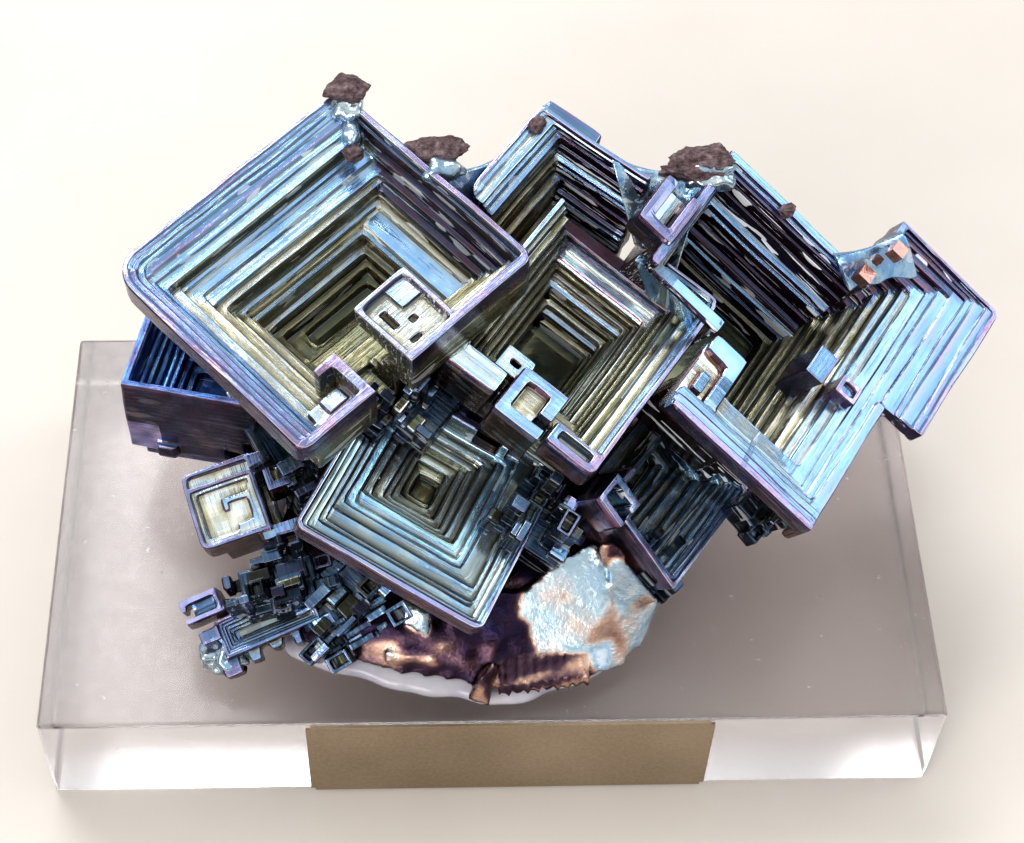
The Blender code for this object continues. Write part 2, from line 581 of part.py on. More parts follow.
def largest_piece(shell):
    """Drops every separate surface but the largest, so that no sealed pocket is left inside."""
    pieces, seen = [], set()
    for start in shell.faces:
        if start in seen:
            continue
        seen.add(start)
        piece = [start]
        for face in piece:
            for edge in face.edges:
                for other in edge.link_faces:
                    if other not in seen:
                        seen.add(other)
                        piece.append(other)
        pieces.append(piece)
    pieces.sort(key=len)
    bmesh.ops.delete(shell, geom=[face for piece in pieces[:-1] for face in piece], context="FACES")
    loose = [edge for edge in shell.edges if not edge.link_faces]
    bmesh.ops.delete(shell, geom=loose, context="EDGES")


def metal_body(finish):
    """Unites the hoppers, clusters, lumps and crusts into one solid that stands on its glue."""
    shells = [make().mesh() for make in HOPPERS]
    shells += [cluster(*values).mesh() for values in CLUSTERS]
    shells += [lump(corners) for corners in LUMPS[1:]]
    shells += [crust(*values, index) for index, values in enumerate(CRUSTS)]
    body = object_from(lump(LUMPS[0]), "crystal", finish)
    for index, shell in enumerate(shells):
        unite(body, object_from(shell, "growth_%02d" % index), "UNION")
    below = slab("below the foot", (-BLOCK_LENGTH, -BLOCK_LENGTH, 0), (BLOCK_LENGTH, BLOCK_LENGTH, CRYSTAL_FOOT))
    unite(body, below, "DIFFERENCE")

    graph = bpy.context.evaluated_depsgraph_get()
    united = bmesh.new()
    united.from_mesh(body.evaluated_get(graph).data)
    body.modifiers.clear()
    bmesh.ops.remove_doubles(united, verts=united.verts[:], dist=WELD * MM)
    largest_piece(united)
    bmesh.ops.dissolve_limit(united, angle_limit=math.radians(COPLANAR), verts=united.verts[:],
                             edges=united.edges[:], use_dissolve_boundaries=False)
    for filling in ("BEAUTY", "EAR_CLIP"):
        solid = united.copy()
        bmesh.ops.triangulate(solid, faces=solid.faces[:], ngon_method=filling)
        closed = all(len(edge.link_faces) == 2 for edge in solid.edges)
        solid.to_mesh(body.data)
        solid.free()
        if closed:
            break
    united.free()
    return body


def unite(body, other, operation):
    other.hide_render = True
    other.display_type = "WIRE"
    joined = body.modifiers.new(other.name, "BOOLEAN")
    joined.operation = operation
    joined.solver = "MANIFOLD"
    joined.object = other


def main():
    for old in list(bpy.data.objects):
        bpy.data.objects.remove(old, do_unlink=True)

    bismuth = material("bismuth oxide film", (0.42, 0.55, 0.66), 0.25, 1.0)
    acrylic = material("clear acrylic", (0.96, 0.93, 0.94), 0.05, 0.0, transmission=1.0, ior=1.49)
    tape = material("bronze label tape", (0.36, 0.28, 0.19), 0.5, 0.2)
    adhesive = material("set glue", (0.78, 0.74, 0.78), 0.35, 0.0)

    half_length, half_depth = BLOCK_LENGTH / 2, BLOCK_DEPTH / 2
    slab("acrylic_block", (-half_length, -half_depth, 0), (half_length, half_depth, BLOCK_HEIGHT), acrylic,
         BLOCK_EASING)
    label_foot = (BLOCK_HEIGHT - LABEL_HEIGHT) / 2
    label_back = -half_depth - GAP
    slab("label", (LABEL_LEFT, label_back - LABEL_THICKNESS, label_foot),
         (LABEL_RIGHT, label_back, label_foot + LABEL_HEIGHT), tape)
    glue_pad(adhesive)
    metal_body(bismuth)


main()
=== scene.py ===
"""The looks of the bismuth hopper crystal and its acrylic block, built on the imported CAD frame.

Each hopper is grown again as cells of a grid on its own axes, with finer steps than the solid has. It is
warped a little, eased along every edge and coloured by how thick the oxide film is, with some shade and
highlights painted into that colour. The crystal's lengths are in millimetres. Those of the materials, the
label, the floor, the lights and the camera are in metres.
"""

import math

import bmesh
import bpy
import numpy as np
from mathutils import Matrix, Vector, noise


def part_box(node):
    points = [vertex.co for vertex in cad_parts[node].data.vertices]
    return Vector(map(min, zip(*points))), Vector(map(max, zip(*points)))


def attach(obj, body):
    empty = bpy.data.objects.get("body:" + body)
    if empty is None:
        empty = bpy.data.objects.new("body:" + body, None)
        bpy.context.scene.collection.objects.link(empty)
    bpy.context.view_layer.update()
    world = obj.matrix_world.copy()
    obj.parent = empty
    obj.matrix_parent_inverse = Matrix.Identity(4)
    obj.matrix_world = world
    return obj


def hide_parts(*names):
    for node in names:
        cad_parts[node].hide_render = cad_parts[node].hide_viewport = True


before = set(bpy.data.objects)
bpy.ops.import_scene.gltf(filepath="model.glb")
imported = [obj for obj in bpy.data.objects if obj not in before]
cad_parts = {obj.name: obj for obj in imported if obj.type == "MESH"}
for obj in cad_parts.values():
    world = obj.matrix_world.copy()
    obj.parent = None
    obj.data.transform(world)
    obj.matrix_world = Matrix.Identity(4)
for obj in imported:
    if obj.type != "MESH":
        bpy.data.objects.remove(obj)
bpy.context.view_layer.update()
CRYSTAL_BOX = [np.array(corner) * 1000 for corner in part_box("crystal")]

MM = 0.001
WHOLE_TURN = 2 * math.pi
EDGE_EASING = 0.07
SOFTNESS = 0.75                             # how far a crystal's points move to their neighbours' mean
WALL = 1.3                                  # a hopper's underside lies this far behind its risers
FLOOR = 1.2                                 # and this far below its treads
OUTSIDE = -100.0                            # the depth that marks a place outside a rim
CLOSEST_LINES = 0.06                        # a grid line nearer than this to the one before is left out
FOOT_Z = 14.0                               # the crystal's lowest level, on the glue
BLOCK_TOP = 12.7
THINNEST = 0.09                             # thinnest film, lavender, unless a profile says less


# ---- Crystals laid out as cells of a grid ----

def crystal_axes(centre, lean, toward, heading):
    """w leans by lean towards toward, u heads along heading."""
    lean, toward, heading = (math.radians(angle) for angle in (lean, toward, heading))
    w = Vector((math.sin(lean) * math.cos(toward), math.sin(lean) * math.sin(toward), math.cos(lean)))
    across = Vector((math.cos(heading), math.sin(heading), 0))
    across.z = -(across.x * w.x + across.y * w.y) / w.z
    u = across.normalized()
    v = w.cross(u)
    return Matrix.Translation(Vector(centre)) @ Matrix((u, v, w)).transposed().to_4x4()


def depth_at(distance, stairs):
    """The depth of the tread at each distance inside a rim."""
    risers = [0.0] + [stair[0] for stair in stairs]
    depths = [OUTSIDE, 0.0] + [stair[1] for stair in stairs]
    return np.array(depths)[np.searchsorted(risers, distance, side="right")]


def underside(stairs):
    """A coarser staircase WALL behind the risers and FLOOR below the treads."""
    picked = [index for index in range(len(stairs) - 1, -1, -3) if stairs[index][0] > WALL][::-1]
    below = [(0.0, (stairs[picked[0] - 1][1] if picked[0] else 0.0) + FLOOR)] if picked else []
    for index, following in zip(picked, picked[1:] + [len(stairs)]):
        below.append((stairs[index][0] - WALL, stairs[following - 1][1] + FLOOR))
    return below or [(0.0, stairs[-1][1] + FLOOR)]


def on_levels(stairs, levels):
    """The staircase with its depths moved to the crystal's common terraces, which meet at the corners."""
    kept = []
    for distance, depth in stairs:
        level = min(levels, key=lambda value: abs(value - depth))
        if not kept or level > kept[-1][1]:
            kept.append((distance, level))
    return kept


class Growth:
    """One crystal: an ordered list of additions and cuts, each a test of the grid's cell centres."""

    def __init__(self, axes, levels=None):
        self.axes = axes
        self.levels = levels
        self.lines = ([], [], [])
        self.steps = []
        self.rims = []
        self.paints = []                    # (ranges, film, shade)
        self.seed = None                    # a place inside: only what is joined to it is kept
        self.rounds = []                    # (corner on u and v, the side that the metal is on, radius)

    def box(self, u, v, w, solid=True):
        for line, pair in zip(self.lines, (u, v, w)):
            line.extend(pair)

        def inside(cu, cv, cw):
            return (u[0] < cu) & (cu < u[1]) & (v[0] < cv) & (cv < v[1]) & (w[0] < cw) & (cw < w[1])

        self.steps.append((inside, solid))

    def cut(self, u, v, w):
        self.box(u, v, w, solid=False)

    def paint(self, u, v, w, film, shade):
        """A stretch with a film and a shade of its own."""
        self.paints.append(((u, v, w), film, shade))

    def hopper(self, rim, left, right, front, back):
        """A stepped funnel: its rim's u and v, and from each side its (distance in, depth) staircase."""
        if self.levels:
            left, right, front, back = (on_levels(stairs, self.levels)
                                        for stairs in (left, right, front, back))
        sides = ((left, rim[0], 1, 0), (right, rim[1], -1, 0), (front, rim[2], 1, 1), (back, rim[3], -1, 1))
        self.rims.append(sides)
        unders = [underside(stairs) for stairs, edge, inward, axis in sides]
        for (stairs, edge, inward, axis), under in zip(sides, unders):
            self.lines[axis].append(edge)
            for distance, depth in stairs + under:
                self.lines[axis].append(edge + inward * distance)
                self.lines[2].append(-depth)
        self.lines[2].append(0.0)

        def inside(cu, cv, cw):
            centres = (cu, cv)
            tops, bottoms = [], []
            for (stairs, edge, inward, axis), under in zip(sides, unders):
                distance = (centres[axis] - edge) * inward
                tops.append(depth_at(distance, stairs))
                bottoms.append(depth_at(distance, under))
            top, bottom = np.minimum.reduce(tops), np.minimum.reduce(bottoms)
            return (top >= 0) & (cw < -top) & (cw > -bottom)

        self.steps.append((inside, True))

    def frame_hook(self, u, v, w, bar, gap_side, gap):
        """A square loop of bars, open for gap on the side of low u or low v."""
        self.box(u, v, w)
        self.cut((u[0] + bar, u[1] - bar), (v[0] + bar, v[1] - bar), w)
        if gap_side == "u0":
            self.cut((u[0], u[0] + bar), (v[0] + bar, v[0] + bar + gap), w)
        else:
            self.cut((u[0] + bar, u[0] + bar + gap), (v[0], v[0] + bar), w)

    def grid(self, spacing):
        lines = []
        for line in self.lines:
            line = np.array(sorted(set(np.round(line, 4))))
            line = line[np.concatenate(([True], np.diff(line) > CLOSEST_LINES))]
            parts = [np.linspace(a, b, max(1, math.ceil((b - a) / spacing)), endpoint=False)
                     for a, b in zip(line[:-1], line[1:])]
            lines.append(np.concatenate(parts + [line[-1:]]))
        return lines

    def solid_cells(self, lines):
        """The filled cells, with one empty cell all round them."""
        cu, cv, cw = np.meshgrid(*[(line[1:] + line[:-1]) / 2 for line in lines], indexing="ij")
        solid = np.zeros(cu.shape, bool)
        for inside, value in self.steps:
            solid[inside(cu, cv, cw)] = value
        solid = np.pad(solid, 1)
        if self.seed is not None:
            start = tuple(int(np.searchsorted(line, place)) for line, place in zip(lines, self.seed))
            solid = joined_to(solid, start)
        return without_pinches(solid)

    def mesh_arrays(self, spacing):
        """Points on the crystal's axes, quads, each quad's direction (0..5: -u +u -v +v -w +w), and how far
        each point stands out: 1 on a ridge, 0 on a face, -1 in a groove."""
        lines = self.grid(spacing)
        solid = self.solid_cells(lines)
        counts = [len(line) for line in lines]
        quads, facing = skin(solid, counts)
        around = sum(solid[a:a + counts[0], b:b + counts[1], c:c + counts[2]].astype(int)
                     for a in (0, 1) for b in (0, 1) for c in (0, 1))
        used, quads = np.unique(quads, return_inverse=True)
        quads = quads.reshape(-1, 4)
        points = np.stack([lines[0][used // (counts[1] * counts[2])],
                           lines[1][used // counts[2] % counts[1]],
                           lines[2][used % counts[2]]], 1)
        return points, quads, facing, np.clip((4 - around.reshape(-1)[used]) / 2, -1, 1)


def skin(solid, counts):
    """The quads between filled and empty cells, as numbers of grid points, and each quad's direction."""
    quads, facing = [], []
    for axis in range(3):
        first, second = (axis + 1) % 3, (axis + 2) % 3
        low = np.take(solid, range(solid.shape[axis] - 1), axis)
        high = np.take(solid, range(1, solid.shape[axis]), axis)
        for solid_ahead, found in ((1, ~low & high), (0, low & ~high)):
            base = np.argwhere(found) - 1
            base[:, axis] += 1
            corners = []
            for a, b in ((0, 0), (1, 0), (1, 1), (0, 1)):
                index = base.copy()
                index[:, first] += a
                index[:, second] += b
                corners.append((index[:, 0] * counts[1] + index[:, 1]) * counts[2] + index[:, 2])
            loop = np.stack(corners, 1)
            quads.append(loop[:, ::-1] if solid_ahead else loop)
            facing.append(np.full(len(loop), 2 * axis + (1 - solid_ahead)))
    return np.concatenate(quads), np.concatenate(facing)


def joined_to(solid, start):
    """The filled cells that can be reached from start."""
    reached = np.zeros_like(solid)
    reached[start] = solid[start]
    while True:
        grown = reached.copy()
        for axis in range(3):
            grown |= np.roll(reached, 1, axis) | np.roll(reached, -1, axis)
        grown &= solid
        if (grown == reached).all():
            return reached
        reached = grown


def without_pinches(solid):
    """Fills one cell wherever two filled cells touch along an edge alone."""
    changed = True
    while changed:
        changed = False
        for axis in range(3):
            first, second = [other for other in range(3) if other != axis]
            a, b, c = solid, np.roll(solid, -1, first), np.roll(solid, -1, second)
            d = np.roll(b, -1, second)
            for here, there, empty, other in ((a, d, b, c), (b, c, a, d)):
                pinched = here & there & ~empty & ~other
                if pinched.any():
                    changed = True
                    spot = np.argwhere(pinched)
                    if empty is b:
                        spot[:, first] += 1
                    solid[tuple(spot.T)] = True
                    break
            if changed:
                break
    return solid


def waves(points, lengths, seed):
    """A smooth wavy value in -1..1 at each point, with the given wavelength along each axis."""
    random = np.random.default_rng(seed)
    total = np.zeros(len(points))
    for _ in range(4):
        turn = random.uniform(0.6, 1.4, 3) * random.choice([-1, 1], 3) * WHOLE_TURN / np.array(lengths)
        total += np.sin(points @ turn + random.uniform(0, WHOLE_TURN))
    return total / 4


def warped(points, amount, seed):
    """Risers that wander, so that treads taper, and faces that aren't quite flat."""
    moved = points.copy()
    moved[:, 0] += amount * waves(points, (3.0, 22.0, 9.0), seed)
    moved[:, 1] += amount * waves(points, (22.0, 3.0, 9.0), seed + 1)
    moved[:, 2] += 0.6 * amount * waves(points, (9.0, 9.0, 5.0), seed + 2)
    return moved


def relaxed(points, quads, share):
    """Every point moved by share of the way to its neighbours' mean, which rounds ridges and grooves."""
    total, count = np.zeros_like(points), np.zeros(len(points))
    for a, b in ((0, 1), (1, 2), (2, 3), (3, 0)):
        for here, there in ((quads[:, a], quads[:, b]), (quads[:, b], quads[:, a])):
            np.add.at(total, here, points[there])
            np.add.at(count, here, 1)
    return points + share * (total / count[:, None] - points)


def rounded(points, corner, signs, radius):
    """Rounds the outer corner at corner (u, v): the material lies on the side of signs."""
    a = radius - (points[:, 0] - corner[0]) * signs[0]
    b = radius - (points[:, 1] - corner[1]) * signs[1]
    inside = (a > 0) & (b > 0)
    scale = np.ones(len(points))
    scale[inside] = np.maximum(a, b)[inside] / np.hypot(a, b)[inside]
    moved = points.copy()
    moved[inside, 0] = (corner[0] + signs[0] * (radius - a * scale))[inside]
    moved[inside, 1] = (corner[1] + signs[1] * (radius - b * scale))[inside]
    return moved


# ---- The hoppers ----

AXES_A = crystal_axes((-14.5, 5.9, 43), 9.4, -101.3, 42.7)
AXES_B_TIP = crystal_axes((7.3, 16.2, 42), 12.8, -74.9, 52.1)
AXES_B = crystal_axes((8.2, 4.1, 36), 20.1, -37.8, 56.1)
AXES_C = crystal_axes((25.6, 4, 34), 30.7, -38.6, 56.4)
AXES_D = crystal_axes((-5.4, -8.2, 27), 18.6, -32.9, 64.4)
AXES_E = crystal_axes((-23.3, -5.4, 24), 19.9, -96.1, 16.9)
AXES_F = crystal_axes((-26.5, 9.6, 28), 0, 0, -13)
AXES_G = crystal_axes((17.2, -4.5, 24), 43.2, -31, 55.1)

# The depths of each hopper's terraces.
LEVELS_A = (0.15, 0.35, 0.6, 0.9, 1.2, 1.6, 2, 2.5, 3.1, 3.5, 4, 4.6, 5.2, 5.9, 6.6, 7.1, 7.6, 8.5, 9.6, 10.7,
            11.9, 12.8)
LEVELS_B_TIP = (0.2, 0.5, 0.9, 1.4, 2.4, 3.6, 4, 5.5, 7, 7.6, 8.5, 9.4, 11)
LEVELS_B = (0.3, 0.9, 1.5, 2.1, 3, 4, 5, 6, 6.3, 6.9, 7.7, 8.4, 9.1, 9.8, 10.5, 11.2, 12)
LEVELS_C = (0.15, 0.4, 0.6, 0.8, 1.05, 1.3, 1.6, 2, 2.8, 3.6, 4.5, 5.4, 7, 8.2, 9.2, 10.3, 11.4, 13)
LEVELS_D = (0.12, 0.25, 0.4, 0.6, 0.85, 1.15, 1.5, 1.7, 2.4, 3.1, 3.8, 4.6, 5.3, 6)
LEVELS_G = (0.2, 0.5, 1, 1.6, 2.4, 3.2, 4, 4.8, 5.4, 6.2, 7)


def hopper_a():
    growth = Growth(AXES_A, LEVELS_A)
    growth.hopper(
        rim=(-13.7, 13.5, -11.9, 13.2),
        left=[(0.6, 0.2), (1.3, 0.5), (1.9, 1.2), (2.4, 1.6), (2.9, 2.4), (3.4, 2.8), (3.9, 3.4), (5.1, 4.4),
              (6, 5.6), (6.4, 6), (6.8, 6.6), (7.6, 7.6), (8.1, 9.4), (8.8, 10.4), (9.7, 11.4),
              (10.6, 12.2), (11.6, 12.8)],
        right=[(0.7, 1), (0.95, 2.6), (1.5, 4), (2.1, 5.2), (2.9, 6.3), (3.6, 6.9), (4.5, 7.2), (5.7, 7.6),
               (6.1, 9.4), (6.6, 10.8), (7.1, 11.9), (7.7, 12.8)],
        front=[(0.9, 0.8), (1.4, 2), (2.1, 3.4), (3, 4.8), (3.9, 6.2), (5, 7.4), (6.1, 8.4), (7.4, 9.4),
               (8.6, 10.4), (9.8, 11.2), (11, 12), (12.2, 12.8)],
        back=[(0.45, 0.15), (0.8, 0.35), (1.25, 0.55), (1.7, 0.8), (2.1, 1), (2.6, 1.2), (3, 1.4),
              (3.4, 1.6), (4.4, 3.1), (4.8, 3.35), (5.4, 3.6), (5.9, 3.8), (6.5, 4.1), (7.1, 4.35),
              (7.7, 4.6), (7.85, 6.6), (8.3, 6.9), (8.67, 7.6), (9.1, 9.6), (9.7, 10.8), (10.4, 11.9),
              (11, 12.8)])
    growth.cut((-5.4, -1.4), (-11.9, -5.8), (-9, 0))
    growth.box((-6.3, -5.4), (-11.9, -6.7), (-4.2, 0))
    growth.box((-7.9, -6.3), (-7.5, -6.7), (-4.2, 0))
    growth.box((-10.4, -6.3), (-11.2, -8.6), (-4.2, -2))
    growth.box((-9, -6.9), (-10, -8.6), (-4.2, -1.6))
    growth.box((-1.4, 4.7), (-11.9, -4.6), (-2.4, 0))
    growth.cut((-0.8, 4.1), (-11.1, -5.1), (-0.9, 0))
    growth.box((2, 4.1), (-7.4, -5.1), (-0.9, -0.5))
    growth.cut((0.2, 0.7), (-8.2, -6.4), (-1.2, -0.9))
    growth.cut((1.7, 2.3), (-8.9, -8.2), (-1.2, -0.9))
    growth.cut((0.4, 1.6), (-10.4, -9.9), (-1.2, -0.9))
    growth.paint((-0.9, 4.2), (-11.2, -5), (-1.1, -0.8), 0.55, 0.55)
    growth.paint((-0.9, 4.2), (-11.2, -5), (-1.3, -1.1), 0.80, 0.35)
    growth.paint((1.9, 4.2), (-7.5, -5), (-0.7, -0.4), 0.32, 1.1)
    growth.paint((-10.4, -6.3), (-11.2, -8.5), (-2.6, -1), 0.45, 1)
    growth.rounds = [((-13.7, 13.2), (1, -1), 3), ((13.5, 13.2), (-1, -1), 1.6), ((-13.7, -11.9), (1, 1),
                     1.3), ((13.5, -11.9), (-1, 1), 1.2)]
    return growth


def hopper_b_tip():
    growth = Growth(AXES_B_TIP, LEVELS_B_TIP)
    growth.hopper(
        rim=(-6.5, 5.2, -5.2, 7.2),
        left=[(0, 5.5), (0.8, 8.5), (1.6, 11)],
        right=[(0.5, 0.5), (0.75, 1.4), (1, 2.4), (1.3, 3.6), (1.9, 4), (2.15, 5.5), (2.4, 7), (2.9, 7.6),
               (3.1, 9.4), (3.4, 11)],
        front=[(0, 11)],
        back=[(0.5, 0.2), (0.9, 0.4), (1.4, 0.6), (1.9, 0.9), (2.3, 1.2), (2.7, 1.5), (3.1, 3.4), (3.6, 5.5),
              (4.6, 8.5), (6.4, 11)])
    growth.box((5.1, 6.5), (1, 7.15), (-2.2, -0.6))
    growth.cut((-6.5, -2.2), (-5.2, -0.4), (-20, 0))
    growth.rounds = [((-6.5, 7.2), (1, -1), 1.4)]
    return growth


def hopper_b():
    growth = Growth(AXES_B, LEVELS_B)
    growth.hopper(
        rim=(-11.3, 11.6, -8.2, 9.3),
        left=[(1.2, 1), (2.4, 2.5), (3.6, 4), (4.8, 5.5), (6, 7), (7.2, 8.5), (8.4, 10), (9.6, 11),
              (10.8, 12)],
        right=[(0.4, 0.4), (0.7, 1.4), (0.95, 2.1), (1.2, 3), (1.45, 4), (1.7, 5), (1.95, 6), (3, 6.3),
               (3.25, 7), (3.5, 7.7), (3.9, 8.4), (4.6, 9.1), (4.9, 9.8), (5.4, 10.5), (6.1, 11.2),
               (6.6, 12)],
        front=[(0.5, 0.3), (1, 0.8), (1.9, 2), (2.3, 2.5), (2.7, 3), (2.9, 4), (3.4, 5), (3.9, 6),
               (4.4, 7), (4.9, 8), (5.4, 9), (5.9, 10), (6.3, 11), (6.7, 12)],
        back=[(0.6, 0.8), (1, 2), (1.8, 4), (2.4, 5.5), (3, 7), (3.6, 8.5), (4.2, 10), (4.8, 12)])
    growth.cut((-11.3, -7.6), (-2.9, 9.3), (-5, 0))
    growth.cut((10, 11.6), (-2, 9.3), (-4, 0))
    growth.box((-11.3, -9), (-8.2, -2.9), (-2.6, 0))
    growth.cut((-10.4, -9.6), (-7.2, -3.8), (-1.2, 0))
    growth.frame_hook((-11.4, -6), (-2.4, 2.4), (-5.6, -0.8), 1.15, "v0", 1.2)
    growth.box((-10.25, -7.15), (-1.25, 1.25), (-5.6, -1.7))
    growth.box((-6.7, -4.1), (1.5, 4.7), (-8, -2.8))
    growth.cut((-5.7, -5.2), (2.7, 3.6), (-4, -2.8))
    growth.box((-9.6, -7.1), (3.1, 8.4), (-7.5, -2))
    # Painted highlight: a ledge given shade 2, standing for the key light it reflects.
    growth.paint((8.2, 9.8), (-5.8, 7), (-6.6, -5.9), 0.45, 2)
    growth.paint((-11.5, -5.9), (-2.5, 2.5), (-2.2, -0.7), 0.33, 1.35)
    # Painted shade: the hook's sides below its top, dark olive.
    growth.paint((-11.5, -5.9), (-2.5, 2.5), (-6, -1.7), 0.80, 0.35)
    growth.paint((-10.3, -7.1), (-1.3, 1.3), (-1.8, -1.3), 0.62, 0.9)
    # Painted shade: the block's sides below its top, dark olive.
    growth.paint((-9.7, -4), (1.4, 8.5), (-8.1, -2.9), 0.80, 0.35)
    growth.paint((-9.7, -4), (1.4, 8.5), (-2.9, -1.9), 0.48, 1.4)
    growth.rounds = [((11.6, -8.2), (-1, 1), 1), ((-11.3, -8.2), (1, 1), 0.7)]
    return growth


def hopper_c():
    growth = Growth(AXES_C, LEVELS_C)
    front = [(0.6, 0.15), (1.3, 0.4), (2, 0.5), (2.7, 0.62), (3.4, 0.8), (4.1, 0.92), (4.8, 1.05), (6, 1.3),
             (6.8, 1.5), (7.9, 1.9), (8.9, 2.8), (9.5, 3.2), (10.1, 3.9), (10.5, 5.4), (11.2, 7), (11.8, 8),
             (12.5, 9), (13.4, 10.2), (14.1, 12), (14.4, 13)]
    left = [(0.9, 0.4), (1.7, 0.6), (2.4, 0.9), (3, 1.2), (3.6, 1.5), (5.2, 5), (5.6, 8), (6, 11),
            (6.4, 13)]
    growth.hopper(
        rim=(-12.2, 20.5, -16.5, -3.4),
        left=left,
        right=[(0.4, 0.5), (0.8, 0.7), (1.3, 0.9), (2.3, 1.3), (3.3, 1.7), (4.3, 2.5), (5.2, 3.5), (6.1, 4.5),
               (7, 5.6), (7.9, 7), (8.7, 8.5), (9.5, 9.8), (10.3, 10.5), (12, 13)],
        front=front,
        back=[(0, 13)])
    growth.hopper(
        rim=(-12.2, 12.5, -3.4, 14),
        left=left,
        right=[(0.8, 0.4), (1.2, 0.8), (1.5, 1.6), (1.8, 2.8), (2.1, 4.5), (2.8, 5.4), (3.1, 7), (3.4, 8.2),
               (4.1, 9.2), (4.4, 10.3), (4.7, 11.4), (5.2, 13)],
        front=[(0, 9.2), (0.3, 10.3), (0.7, 11.4), (1.3, 13)],
        back=[(0.9, 1.6), (1.5, 4.5), (2.3, 9.2), (3.2, 13)])
    growth.box((12.2, 20.5), (-4.2, -3.4), (-2.4, 0))
    growth.box((12.2, 17.6), (-4.2, -3.4), (-5.4, -2.4))
    growth.box((12.2, 15.2), (-4.2, -3.4), (-9.6, -5.4))
    growth.cut((-12.2, 3.7), (-16.5, -12.3), (-20, 0))
    growth.box((-12.2, 3.7), (-12.3, -11.2), (-4, -0.7))
    growth.cut((-12.2, -2.6), (4.9, 14), (-20, 0))
    growth.box((-2.6, -1.2), (4.9, 14), (-14, -1))
    growth.box((-11.2, -2.7), (1, 4.9), (-3.6, -0.9))
    growth.cut((-9.9, -4.9), (2.3, 4.9), (-1.7, -0.9))
    growth.box((-8.7, -6.6), (2.9, 4.1), (-1.7, -0.9))
    growth.paint((-10, -4.8), (2.2, 5), (-1.8, -1), 0.55, 1)
    growth.cut((-12.2, 0.6), (5.2, 14), (-20, -1.9))
    growth.box((-0.4, 5.4), (13.4, 17.4), (-2.6, 0.6))
    growth.cut((0.8, 5.4), (14.4, 16.2), (-1.4, 0.6))
    growth.box((0.6, 3.8), (-5.8, -3.6), (-6, -0.4))
    growth.paint((0.5, 3.9), (-5.9, -3.5), (-6.1, -0.3), 0.27, 1)
    growth.box((1, 3.1), (-9.4, -7), (-3.4, -0.3))
    growth.paint((0.9, 3.2), (-9.5, -6.9), (-3.5, -0.2), 0.16, 1)
    growth.cut((1.5, 2.6), (-8.9, -7.5), (-0.8, -0.3))
    growth.box((11.3, 12.4), (-4, -2.9), (-3, 0.6))
    growth.box((15.6, 16.8), (-4.9, -3.8), (-3, 0.9))
    growth.rounds = [((20.5, -16.5), (-1, 1), 0.8)]
    return growth


def hopper_d():
    growth = Growth(AXES_D, LEVELS_D)
    growth.hopper(
        rim=(-8.7, 10.1, -8.9, 9.9),
        left=[(0.55, 0.25), (0.9, 0.35), (1.3, 0.5), (1.8, 0.62), (2.35, 0.8), (3, 0.95), (3.8, 1.15),
              (5, 1.5), (5.7, 1.6), (7.06, 2.4), (7.7, 3), (8.4, 3.7), (9.2, 4.4), (10.2, 5.2), (11.3, 6)],
        right=[(0.4, 0.5), (0.8, 1), (1.3, 1.5), (2.1, 2.6), (2.9, 3.4), (3.6, 4.3), (4.4, 5.2), (5.2, 6)],
        front=[(0.3, 0.12), (0.6, 0.25), (1.1, 0.5), (1.8, 0.85), (2.3, 1), (2.9, 1.15), (3.4, 1.3),
               (4, 1.5), (4.7, 1.6), (5.5, 2.2), (6.6, 3.2), (7.4, 3.9), (8.1, 4.7), (8.9, 6)],
        back=[(0.5, 0.25), (1, 0.5), (1.6, 0.7), (2.2, 1), (2.7, 1.5), (3.7, 2.4), (4.6, 3.1), (5.6, 3.8),
              (6.3, 4.6), (6.9, 5.3), (7.6, 6)])
    growth.cut((2.8, 10.1), (7.4, 9.9), (-4, 0))
    growth.frame_hook((8.4, 11.2), (-3.6, 5.4), (-3, 0.5), 0.9, "u0", 2.4)
    growth.box((3.4, 5.6), (7.2, 9.4), (-3.4, 0.7))
    growth.box((6.6, 8.7), (3.4, 5.4), (-3.4, 0.9))
    growth.box((3.6, 9.6), (9, 11.4), (-6, -1.4))
    growth.rounds = [((-8.7, -8.9), (1, 1), 1), ((-8.7, 9.9), (1, -1), 1), ((10.1, -8.9), (-1, 1), 0.9)]
    return growth


def hopper_e():
    growth = Growth(AXES_E)
    growth.box((-4.2, 2.3), (-3.6, 3.8), (-3.6, 0))
    growth.cut((-3.8, 2.3), (2.3, 3.4), (-0.6, 0))
    growth.cut((-3.8, 1.9), (-3.2, 1.9), (-0.35, 0))
    growth.cut((-3.4, 1.5), (-2.8, 1.6), (-0.8, -0.35))
    growth.box((-1.3, 1.5), (0.1, 0.6), (-0.8, -0.3))
    growth.box((1, 1.5), (-2.8, 0.6), (-0.8, -0.3))
    growth.box((-0.6, 1.5), (-2.8, -2.1), (-0.8, -0.3))
    growth.box((-1.3, -0.8), (-0.6, 0.6), (-0.8, -0.3))
    growth.paint((-3.5, 1.6), (-2.9, 1.7), (-0.9, -0.6), 0.54, 1.25)
    growth.box((1.2, 5), (-4.6, -3.4), (-3, -0.2))
    growth.box((1.2, 2.1), (-4.6, 1.3), (-2.6, -0.3))
    growth.box((3, 5.2), (-0.4, 1.9), (-4, 0.4))
    growth.cut((3.7, 4.5), (0.4, 1.9), (-0.8, 0.4))
    growth.box((2, 3.4), (2.4, 3.6), (-3, 0.2))
    growth.box((-2.6, 3.2), (-3, 2.6), (-9, -3.4))
    growth.rounds = [((-4.2, -3.6), (1, 1), 0.8), ((-4.2, 3.8), (1, -1), 0.8)]
    return growth


